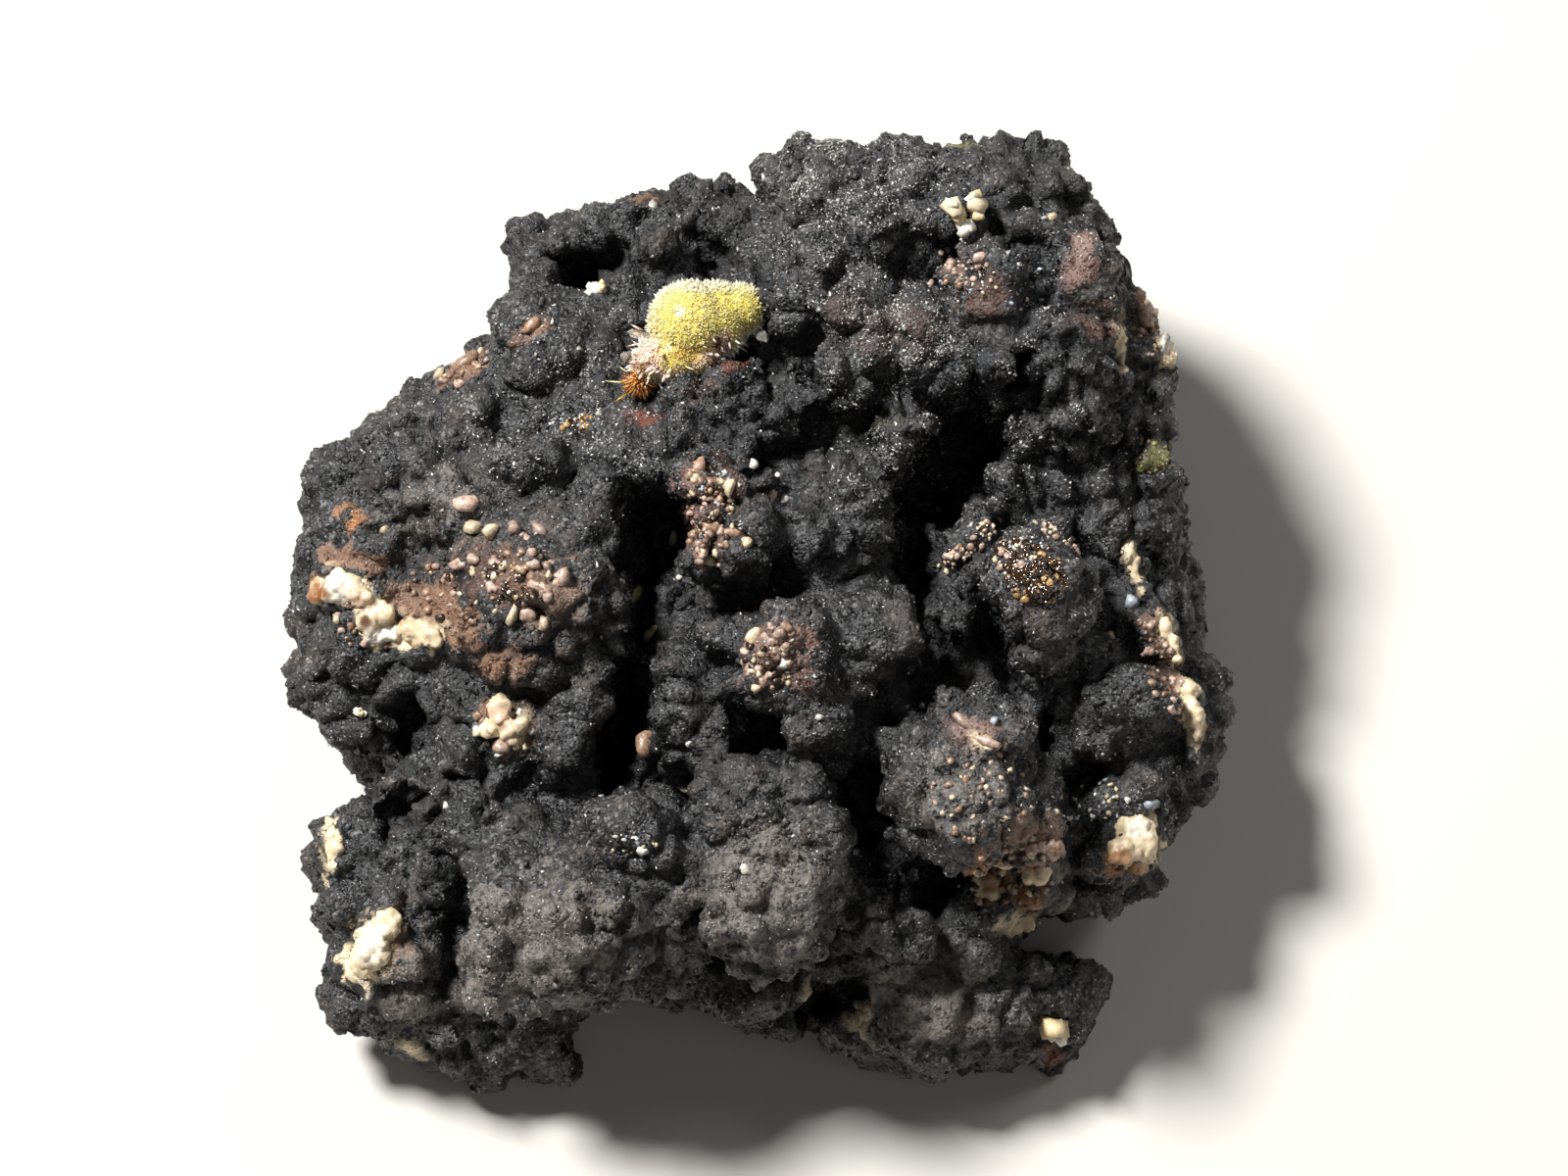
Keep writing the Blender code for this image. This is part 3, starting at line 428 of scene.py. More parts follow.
STAIN_AND_PAINTED_LIGHT_COLOURS = {
    "black": "#17181b",
    "grey": "#5a544e",
    "cream": "#d8c4a2",
    "tan": "#705340",
    "brown": "#3f2a20",
    "pink": "#6b5248",
    "ochre": "#8f5c2e",
    "rust": "#55260f",
    "olive": "#5b5832",
}
STAIN_DEEPEST = -4.0

# How the open sky over each place is found: rays, their reach, where they start and how widely
# they spread, and how often the result is smoothed.
SHADE_RAYS = 12
SHADE_REACH = 1.6
RAY_START = 0.02
RAY_SPREAD = 0.98
SHADE_ROUNDS = 3


def linear(hex_colour):
    """An sRGB hex colour as linear red, green, blue and alpha."""
    channels = [int(hex_colour[i : i + 2], 16) / 255 for i in (1, 3, 5)]
    return [c / 12.92 if c <= 0.04045 else ((c + 0.055) / 1.055) ** 2.4 for c in channels] + [1.0]


def vectors_of(mesh, name):
    """The places or the normals of a mesh's vertices, as rows."""
    values = np.empty(len(mesh.vertices) * 3, np.float32)
    mesh.vertices.foreach_get(name, values)
    return values.reshape(-1, 3)


def spots_on(mesh, count, chance, weight=None, carried=()):
    """Chance spots on a mesh, spread by area and by the weight of its vertices: places, normals
    and what the values carried by the vertices are there."""
    mesh.calc_loop_triangles()
    corners = np.empty(len(mesh.loop_triangles) * 3, np.int32)
    mesh.loop_triangles.foreach_get("vertices", corners)
    corners = corners.reshape(-1, 3)
    places, normals = vectors_of(mesh, "co"), vectors_of(mesh, "normal")
    a, b, c = (places[corners[:, i]] for i in range(3))
    share = np.linalg.norm(np.cross(b - a, c - a), axis=1)
    if weight is not None:
        share = share * weight[corners].mean(axis=1)
    picked = chance.choice(len(corners), count, p=share / share.sum())
    part = chance.random((count, 2))
    part[part.sum(axis=1) > 1] = 1 - part[part.sum(axis=1) > 1]
    mix = np.column_stack((1 - part.sum(axis=1), part))[:, :, None]
    carriers = (places, normals, *carried)
    spots, up, *there = ((rows[corners[picked]] * mix).sum(axis=1) for rows in carriers)
    return spots, up / np.linalg.norm(up, axis=1)[:, None], *there


def copies(name, shape, spots, ups, sizes, chance, lean=0.0, sides=None):
    """One object of many copies of a shape, each stood on its spot, turned and sized. It uses
    the shape up."""
    mesh = bpy.data.meshes.new("shape")
    shape.to_mesh(mesh)
    shape.free()
    points = vectors_of(mesh, "co")
    starts = np.empty(len(mesh.polygons), np.int32)
    mesh.polygons.foreach_get("loop_start", starts)
    loops = np.empty(len(mesh.loops), np.int32)
    mesh.loops.foreach_get("vertex_index", loops)
    bpy.data.meshes.remove(mesh)
    ups = ups + chance.normal(size=ups.shape) * lean
    ups /= np.linalg.norm(ups, axis=1)[:, None]
    sides = chance.normal(size=ups.shape) if sides is None else sides
    sides = sides - ups * (sides * ups).sum(axis=1)[:, None]
    sides /= np.linalg.norm(sides, axis=1)[:, None]
    turns = np.stack((sides, np.cross(ups, sides), ups), axis=1)
    scaled = points[None, :, :] * sizes[:, None, :]
    placed = np.einsum("npk,nki->npi", scaled, turns) + spots[:, None, :]
    count = len(spots)
    made = bpy.data.meshes.new(name)
    made.vertices.add(count * len(points))
    made.vertices.foreach_set("co", placed.astype(np.float32).ravel())
    made.loops.add(count * len(loops))
    corners = loops[None, :] + np.arange(count)[:, None] * len(points)
    made.loops.foreach_set("vertex_index", corners.astype(np.int32).ravel())
    made.polygons.add(count * len(starts))
    firsts = starts[None, :] + np.arange(count)[:, None] * len(loops)
    made.polygons.foreach_set("loop_start", firsts.astype(np.int32).ravel())
    made.update(calc_edges=True)
    piece = bpy.data.objects.new(name, made)
    bpy.context.scene.collection.objects.link(piece)
    return piece


def ball_shape(detail):
    bm = bmesh.new()
    bmesh.ops.create_icosphere(bm, subdivisions=detail, radius=1)
    return bm


def block_shape(corners, chance):
    """A crumb with flat faces: the hull of chance corners on a ball."""
    bm = bmesh.new()
    for place in chance.normal(size=(corners, 3)):
        bm.verts.new(place / np.linalg.norm(place))
    bmesh.ops.convex_hull(bm, input=bm.verts)
    return bm


def join_into(made, others):
    """Adds the other objects' shapes to the first and removes them."""
    bm = bmesh.new()
    bm.from_mesh(made.data)
    for other in others:
        bm.from_mesh(other.data)
        bpy.data.objects.remove(other)
    bm.to_mesh(made.data)
    bm.free()
    return made


def crumbled(places, spacing):
    """Crumbs of three sizes, one on the other: high on a crumb, low between two."""
    heights = [
        noise.fractal(Vector(place) / spacing, *CRUMBLE_SIZES, noise_basis="VORONOI_F1")
        for place in places
    ]
    return CRUMBLE_RISE - np.array(heights, np.float32)


def cracked(places, spacing, width):
    """1 in the middle of the cracks round a cell pattern's cells, falling to 0 at their edges."""
    depths = np.empty(len(places), np.float32)
    for i, place in enumerate(places):
        near, next_near = noise.voronoi(Vector(place) / spacing)[0][:2]
        depths[i] = max(0.0, 1 - (next_near - near) / width)
    return depths


def soft_noise(places, spacing, shift):
    return np.array([noise.noise(Vector(place) / spacing + shift) for place in places], np.float32)


def seen_from_eye(places):
    """Where the viewer sees each place, as u and v on the plane of the display face."""
    reach = EYE.z / (EYE.z - places[:, 2:3])
    return np.array(EYE.xy) + (places[:, :2] - np.array(EYE.xy)) * reach


def set_attribute(mesh, name, kind, values):
    made = mesh.attributes.new(name, kind, "POINT")
    socket = "color" if kind == "FLOAT_COLOR" else "value"
    made.data.foreach_set(socket, np.asarray(values, np.float32).ravel())


def openness(tree, places, normals, rays, reach, chance):
    """How much of the sky over each place is open: 1 on a top, near 0 down a crevice."""
    open_share = np.ones(len(places), np.float32)
    spread = chance.normal(size=(rays, 3))
    spread /= np.linalg.norm(spread, axis=1)[:, None]
    for i in range(len(places)):
        start = Vector(places[i] + normals[i] * RAY_START)
        blocked = 0
        for ray in spread:
            way = normals[i] + ray * RAY_SPREAD
            if tree.ray_cast(start, Vector(way), reach)[0] is not None:
                blocked += 1
        open_share[i] = 1 - blocked / rays
    return open_share


def tree_of(mesh):
    shape = bmesh.new()
    shape.from_mesh(mesh)
    tree = BVHTree.FromBMesh(shape)
    shape.free()
    return tree


def blockiness(places):
    """1 where the crust is all blocks, 0 where it is all round lumps."""
    seen = seen_from_eye(places)
    share = np.zeros(len(places))
    for u, v, reach in BLOCKY:
        away = np.hypot(seen[:, 0] - u, seen[:, 1] - v) / reach
        share = np.maximum(share, np.exp(-away * away))
    return share


chance = np.random.default_rng(SEED)
rock = whole_rock()
places, normals = vectors_of(rock.data, "co"), vectors_of(rock.data, "normal")
room = openness(tree_of(rock.data), places, normals, SHADE_RAYS // 2, SHADE_REACH, chance)
room = np.clip((room - LUMP_ROOM) / (1 - LUMP_ROOM), 0.02, 1)
kind = blockiness(places)
lumps = []
for radius, count, buried, is_round in CRUST_LUMPS:
    share = ROUND_SHARE - kind if is_round else BLOCK_SHARE + kind
    spots, ups = spots_on(rock.data, count, chance, room * share)
    sizes = radius * chance.uniform(0.6, 1.25, (count, 1)) * chance.uniform(0.75, 1.2, (count, 3))
    spots = spots - ups * sizes[:, 2:3] * buried
    shape = ball_shape(2) if is_round else block_shape(LUMP_CORNERS, chance)
    lumps.append(copies("crust_lumps", shape, spots, ups, sizes, chance, lean=0.3))
middles, halves = np.array(SHARDS)[:, :3], np.array(SHARDS)[:, 3:]
upwards = np.tile((0.0, 1.0, 0.3), (len(SHARDS), 1))
shard = block_shape(SHARD_CORNERS, chance)
lumps.append(copies("crust_shards", shard, middles, upwards, halves, chance))
one_skin(join_into(rock, lumps), SKIN_VOXEL)

places, normals = vectors_of(rock.data, "co"), vectors_of(rock.data, "normal")
kind = blockiness(places)
crumbs = crumbled(places, CRUMBLE_SPACING) * CRUMBLE_HEIGHT
open_cracks = soft_noise(places, CRACK_PATCHES, Vector((6, 2, 8))) * 2.5 + 0.5 + kind
open_cracks = np.clip(open_cracks, 0, 1)
cracks = cracked(places, CRACK_SPACING, CRACK_WIDTH) * open_cracks
crumbs -= cracks * CRACK_DEPTH * (0.7 + 0.5 * kind)
rock.data.vertices.foreach_set("co", (places + normals * crumbs[:, None]).ravel())
set_attribute(rock.data, "crack", "FLOAT", cracks)

# The back is broken off flat, and the rock lies on it.
cut_shape = bmesh.new()
cut_shape.from_mesh(rock.data)
base_normal = (world_to_face.to_3x3() @ Vector((0, 0, 1))).normalized()
base_middle = world_to_face @ Vector((0, 0, 0))
bmesh.ops.bisect_plane(
    cut_shape, geom=cut_shape.verts[:] + cut_shape.edges[:] + cut_shape.faces[:],
    plane_co=base_middle, plane_no=base_normal, clear_inner=True,
)
rim_edges = [edge for edge in cut_shape.edges if edge.is_boundary]
base_faces = bmesh.ops.edgeloop_fill(cut_shape, edges=rim_edges)["faces"]
bmesh.ops.recalc_face_normals(cut_shape, faces=base_faces)
for face in cut_shape.faces:
    face.smooth = True
for face in base_faces:
    face.normal_update()
    if face.normal.dot(base_normal) > 0:
        face.normal_flip()
    face.smooth = False
cut_shape.to_mesh(rock.data)
rock_tree = BVHTree.FromBMesh(cut_shape)
cut_shape.free()
rock.data.update()


def neighbour_mean(mesh, values, rounds):
    """Each vertex's value averaged with its neighbours', so many times over."""
    ends = np.empty(len(mesh.edges) * 2, np.int32)
    mesh.edges.foreach_get("vertices", ends)
    ends = ends.reshape(-1, 2)
    count = np.bincount(ends.ravel(), minlength=len(values)) + 1
    for _ in range(rounds):
        total = values.astype(np.float64)
        total += np.bincount(ends[:, 0], values[ends[:, 1]], len(values))
        total += np.bincount(ends[:, 1], values[ends[:, 0]], len(values))
        values = total / count
    return values


def stain_and_painted_light_colours(places, normals, stains_and_painted_light):
    """Colour and cover of the stains and of the painted light at each place, as red, green, blue,
    alpha.
    """
    seen = seen_from_eye(places)
    ragged = soft_noise(places, 0.45, Vector((9, 1, 5))) * 0.55
    ragged += soft_noise(places, 0.18, Vector((2, 7, 4))) * 0.45
    colour = np.zeros((len(places), 4), np.float32)
    facing = (places[:, 2] > STAIN_DEEPEST) & (normals[:, 2] > -0.35)
    for name, u, v, half_width, half_height, turn, cover in stains_and_painted_light:
        angle = math.radians(turn)
        du, dv = seen[:, 0] - u, seen[:, 1] - v
        along = (du * math.cos(angle) + dv * math.sin(angle)) / half_width
        across = (dv * math.cos(angle) - du * math.sin(angle)) / half_height
        inside = np.clip((1.15 - np.hypot(along, across) + ragged) * 1.6, 0, 1)
        amount = inside * cover * facing
        kept = 1 - amount[:, None]
        tint = np.array(linear(STAIN_AND_PAINTED_LIGHT_COLOURS[name])[:3])
        colour[:, :3] = colour[:, :3] * kept + tint * amount[:, None]
        colour[:, 3] = colour[:, 3] * kept[:, 0] + amount
    shown = np.maximum(colour[:, 3:4], 1e-4)
    colour[:, :3] /= shown
    return colour


places, normals = vectors_of(rock.data, "co"), vectors_of(rock.data, "normal")
# Painted shade: how much open sky each place sees sets how dark its colour is painted.
shade = openness(rock_tree, places, normals, SHADE_RAYS, SHADE_REACH, chance)
shade = neighbour_mean(rock.data, shade, SHADE_ROUNDS)
cracks = np.empty(len(places), np.float32)
rock.data.attributes["crack"].data.foreach_get("value", cracks)
# More painted shade: the cracks darken the colour as well as being cut deeper.
shade = shade * (1 - CRACK_DARKENS * cracks)
stains_and_painted_light = stain_and_painted_light_colours(places, normals, STAINS_AND_PAINTED_LIGHT)
set_attribute(rock.data, "openness", "FLOAT", shade)
set_attribute(rock.data, "stain", "FLOAT_COLOR", stains_and_painted_light)
set_attribute(rock.data, "tone", "FLOAT", np.full(len(places), 0.3))


def add_node(tree, kind, settings=None, inputs=None, **links):
    """Adds a node with its settings, its input values and the sockets that feed it."""
    node = tree.nodes.new(kind)
    for name, value in (settings or {}).items():
        setattr(node, name, value)
    for name, value in (inputs or {}).items():
        node.inputs[name].default_value = value
    for name, source in links.items():
        key = int(name[1:]) if name[0] == "i" and name[1:].isdigit() else name.replace("_", " ")
        tree.links.new(source, node.inputs[key])
    return node


def new_material(name):
    made = bpy.data.materials.new(name)
    made.use_nodes = True
    return made, made.node_tree, made.node_tree.nodes["Principled BSDF"]


def ramp(node, stops):
    """Sets a colour ramp's stops: place and sRGB hex colour of each."""
    elements = node.color_ramp.elements
    while len(elements) > 2:
        elements.remove(elements[-1])
    for i, (place, colour) in enumerate(stops):
        element = elements[i] if i < 2 else elements.new(place)
        element.position = place
        element.color = linear(colour)


# Black wad and asbolane: blue black where it is compact and smooth, brown grey and dull where it
# is porous, and set with tiny crystal faces, which give it its glitter.
# Sizes in millimetres: its browner clouds, its mottling, the crystal faces, which are drawn
# coarser than they are so that they show, and the depth of its pitting.
CLOUD_SIZE = 1.1
MOTTLE_SIZE = 0.14
FACET_SIZE = 0.07
PIT_DEPTH = 0.06
MULTIPLY_COLOURS = {"data_type": "RGBA", "blend_type": "MULTIPLY"}


def black_oxide():
    made, tree, shader = new_material("black_oxide")
    where = add_node(tree, "ShaderNodeTexCoord").outputs["Object"]
    cloud = add_node(
        tree, "ShaderNodeTexNoise", None,
        {"Scale": 1 / (CLOUD_SIZE * MM), "Detail": 5.0, "Roughness": 0.65}, Vector=where,
    )
    base = add_node(tree, "ShaderNodeValToRGB", None, None, Fac=cloud.outputs["Fac"])
    ramp(base, ((0.36, "#0e1013"), (0.66, "#453e39"), (0.52, "#201e1e")))
    mottle = add_node(
        tree, "ShaderNodeTexNoise", None,
        {"Scale": 1 / (MOTTLE_SIZE * MM), "Detail": 5.0, "Roughness": 0.7}, Vector=where,
    )
    patches = add_node(
        tree, "ShaderNodeMapRange", None,
        {"From Min": 0.40, "From Max": 0.62, "To Min": 0.15, "To Max": 2.4},
        Value=mottle.outputs["Fac"],
    )
    mottled = add_node(
        tree, "ShaderNodeMix", MULTIPLY_COLOURS, {0: 1.0},
        i6=base.outputs["Color"], i7=patches.outputs["Result"],
    )
    # Each crumb has a tone of its own.
    tone = add_node(tree, "ShaderNodeAttribute", {"attribute_name": "tone"})
    crumb_tone = add_node(tree, "ShaderNodeValToRGB", None, None, Fac=tone.outputs["Fac"])
    ramp(crumb_tone, ((0.0, "#8a8480"), (1.0, "#ffffff"), (0.3, "#b4aeaa"), (0.8, "#cdbfb2")))
    toned = add_node(
        tree, "ShaderNodeMix", MULTIPLY_COLOURS, {0: 1.0},
        i6=mottled.outputs[2], i7=crumb_tone.outputs["Color"],
    )
    # One crystal face in five is paler.
    grit = add_node(
        tree, "ShaderNodeTexVoronoi", None, {"Scale": 1 / (FACET_SIZE * MM), "Randomness": 1.0},
        Vector=where,
    )
    speck = add_node(tree, "ShaderNodeSeparateColor", None, None, Color=grit.outputs["Color"])
    fleck = add_node(
        tree, "ShaderNodeMapRange", None,
        {"From Min": 0.80, "From Max": 1.0, "To Min": 0.0, "To Max": 0.6},
        Value=speck.outputs["Red"],
    )
    flecked = add_node(
        tree, "ShaderNodeMix", {"data_type": "RGBA"}, {7: linear("#7d7c7a")},
        i0=fleck.outputs["Result"], i6=toned.outputs[2],
    )
    # The stains, and the grey patches of painted light, with edges that follow the mottling.
    stain = add_node(tree, "ShaderNodeAttribute", {"attribute_name": "stain"})
    crisp = add_node(
        tree, "ShaderNodeMath", {"operation": "MULTIPLY_ADD"}, {1: 1.1, 2: -0.55},
        i0=mottle.outputs["Fac"],
    )
    edge = add_node(
        tree, "ShaderNodeMath", {"operation": "ADD"}, None,
        i0=stain.outputs["Alpha"], i1=crisp.outputs[0],
    )
    cover = add_node(
        tree, "ShaderNodeMapRange", {"interpolation_type": "SMOOTHSTEP"},
        {"From Min": 0.30, "From Max": 0.62}, Value=edge.outputs[0],
    )
    tinted = add_node(
        tree, "ShaderNodeMix", {"data_type": "RGBA"}, None,
        i0=cover.outputs["Result"], i6=flecked.outputs[2], i7=stain.outputs["Color"],
    )
    # Painted shade: the crust's colour is made blacker down in the crevices, and a little paler on
    # open tops, by how much sky each place sees.
    openness_in = add_node(tree, "ShaderNodeAttribute", {"attribute_name": "openness"})
    depth = add_node(
        tree, "ShaderNodeMapRange", None,
        {"From Min": 0.30, "From Max": 0.90, "To Min": 0.03, "To Max": 1.2},
        Value=openness_in.outputs["Fac"],
    )
    shaded = add_node(
        tree, "ShaderNodeMix", MULTIPLY_COLOURS, {0: 1.0},
        i6=tinted.outputs[2], i7=depth.outputs["Result"],
    )
    tree.links.new(shaded.outputs[2], shader.inputs["Base Color"])
    # The browner clouds are duller, and each crystal face has a gloss of its own.
    dull = add_node(
        tree, "ShaderNodeMapRange", None,
        {"From Min": 0.35, "From Max": 0.65, "To Min": 0.0, "To Max": 0.3},
        Value=cloud.outputs["Fac"],
    )
    gloss = add_node(
        tree, "ShaderNodeMath", {"operation": "MULTIPLY_ADD"}, {1: 0.35},
        i0=speck.outputs["Green"], i2=dull.outputs["Result"],
    )
    rough = add_node(tree, "ShaderNodeMath", {"operation": "ADD"}, {1: 0.2}, i0=gloss.outputs[0])
    tree.links.new(rough.outputs[0], shader.inputs["Roughness"])
    height = add_node(
        tree, "ShaderNodeMath", {"operation": "MULTIPLY_ADD"}, {1: -0.5},
        i0=grit.outputs["Distance"], i2=mottle.outputs["Fac"],
    )
    bump = add_node(
        tree, "ShaderNodeBump", None, {"Strength": 0.9, "Distance": PIT_DEPTH * MM},
        Height=height.outputs[0],
    )
    # Each crystal face leans its own way, so some catch the light.
    lean = add_node(
        tree, "ShaderNodeVectorMath", {"operation": "MULTIPLY_ADD"},
        {1: (0.7, 0.7, 0.7), 2: (-0.35, -0.35, -0.35)}, i0=grit.outputs["Color"],
    )
    tipped = add_node(
        tree, "ShaderNodeVectorMath", {"operation": "ADD"}, None,
        i0=lean.outputs[0], i1=bump.outputs["Normal"],
    )
    facet = add_node(
        tree, "ShaderNodeVectorMath", {"operation": "NORMALIZE"}, None, i0=tipped.outputs[0],
    )
    tree.links.new(facet.outputs[0], shader.inputs["Normal"])
    shader.inputs["IOR"].default_value = 1.6
    return made


def put_in_world(made, finish, body="root"):
    """Moves a finished mesh from the face's frame to the world and gives it its material."""
    made.data.transform(face_to_world)
    made.data.materials.clear()
    made.data.materials.append(finish)
    made.data.update()
    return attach(made, body)


black = black_oxide()


# The crumbs of the crust: grains of the same oxides, up to 0.18 mm in radius, that broke from it
# and cling to it. They lie thickest in patches, and there are too many to be one mesh.
CRUMB_PIECES = 2
CRUMBS = 11000
CRUMB_RADIUS = 0.072
CRUMB_SPREAD = 0.40
CRUMB_LARGEST = 0.18
CRUMB_BURIED = 0.52
SIDE_SHARE = 0.45


def give(piece, count, **values):
    """Gives each of a piece's copies its own values, as attributes of all its vertices."""
    corners = len(piece.data.vertices) // count
    for name, rows in values.items():
        kind = "FLOAT_COLOR" if rows.ndim == 2 else "FLOAT"
        set_attribute(piece.data, name, kind, np.repeat(rows, corners, axis=0))


# Neither crumbs nor druse grow where the rock is cut flat.
base_height = (places - np.array(base_middle)) @ np.array(base_normal)
over_base = base_height > 2 * CRUMB_LARGEST


def add_crumbs(name, count, chance):
    patchy = np.clip(soft_noise(places, 1.1, Vector((3, 8, 2))) * 3.5 + 0.8, 0.08, 2.0)
    smoother = 1 - 0.5 * blockiness(places)
    weight = np.where(places[:, 2] > STAIN_DEEPEST, patchy * smoother, SIDE_SHARE)
    weight = weight * (0.25 + shade) * over_base
    looks = np.column_stack((stains_and_painted_light, shade))
    spots, ups, there = spots_on(rock.data, count, chance, weight, [looks])
    sizes = CRUMB_RADIUS * np.exp(chance.normal(size=(count, 1)) * CRUMB_SPREAD)
    sizes = np.minimum(sizes, CRUMB_LARGEST) * chance.uniform(0.75, 1.2, (count, 3))
    spots = spots - ups * sizes[:, 2:3] * CRUMB_BURIED
    piece = copies(name, block_shape(LUMP_CORNERS, chance), spots, ups, sizes, chance, lean=0.5)
    # Each crumb takes the rock's stains, painted light and painted shade at its spot.
    give(piece, count, stain=there[:, :4], openness=there[:, 4], tone=chance.random(count))
    return put_in_world(piece, black)


for number in range(CRUMB_PIECES):
    add_crumbs(f"crust_crumbs_{number + 1}", CRUMBS, chance)


# The druse: fine pale crystals, some hundredths of a millimetre wide, that grew on the crust as a
# last dusting and lie as thick as salt in places. The places: u, v, reach, and how thick.
SALT = (
    (1.6, 8.2, 1.6, 9.0), (2.9, 7.6, 1.6, 7.0), (2.4, 4.6, 1.6, 9.0), (3.6, 4.3, 1.6, 8.0),
    (5.0, 4.3, 1.2, 6.0), (6.4, 6.2, 1.6, 3.0), (-3.6, 4.4, 1.5, 7.0), (-1.4, 3.6, 1.6, 2.0),
    (-5.6, 3.4, 1.6, 1.8), (5.2, 1.6, 1.2, 2.5), (-7.4, -2.4, 1.4, 2.0), (1.2, -1.2, 1.2, 2.0),
    (7.6, 3.2, 1.4, 2.0), (4.2, -3.6, 1.8, 1.2), (0.2, -7.2, 1.6, 1.5), (-5.0, -8.0, 2.0, 1.2),
    (7.0, -4.4, 1.6, 1.6),
)
SALT_EVERYWHERE = 0.45
SALT_GRAINS = 32500
SALT_RADIUS = 0.028
SALT_SPREAD = 0.4
SALT_CORNERS = 5


def salt_weight():
    """How thickly the druse lies at each vertex of the rock."""
    seen = seen_from_eye(places)
    weight = np.full(len(places), SALT_EVERYWHERE)
    for u, v, reach, thick in SALT:
        away = np.hypot(seen[:, 0] - u, seen[:, 1] - v) / reach
        weight += thick * np.exp(-away * away) * (places[:, 2] > STAIN_DEEPEST)
    patchy = np.clip(soft_noise(places, 0.7, Vector((4, 4, 1))) * 3.0 + 0.9, 0.05, 2.0)
    return weight * patchy * np.clip(shade, 0.1, 1) ** 1.5 * over_base


# Colourless to milky crystal with smooth faces: each one is a pin point of light on the black.
def pale_druse():
    made, tree, shader = new_material("pale_druse")
    tone = add_node(tree, "ShaderNodeAttribute", {"attribute_name": "tone"})
    colour = add_node(tree, "ShaderNodeValToRGB", None, None, Fac=tone.outputs["Fac"])
    ramp(colour, ((0.0, "#55524f"), (1.0, "#dedad2"), (0.5, "#8b8884"), (0.85, "#aeaaa4")))
    tree.links.new(colour.outputs["Color"], shader.inputs["Base Color"])
    shader.inputs["Roughness"].default_value = 0.18
    shader.inputs["IOR"].default_value = 1.6
    return made


spots, ups = spots_on(rock.data, SALT_GRAINS, chance, salt_weight())
sizes = SALT_RADIUS * np.exp(chance.normal(size=(SALT_GRAINS, 1)) * SALT_SPREAD)
sizes = sizes * chance.uniform(0.8, 1.3, (SALT_GRAINS, 3))
salt_grain = block_shape(SALT_CORNERS, chance)
salt = copies("pale_druse", salt_grain, spots, ups, sizes, chance, lean=1.0)
give(salt, SALT_GRAINS, tone=chance.random(SALT_GRAINS))
put_in_world(salt, pale_druse())

# The rock moves last, because the crumbs and the druse are placed on it in the face's frame.
put_in_world(rock, black)
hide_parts("matrix")


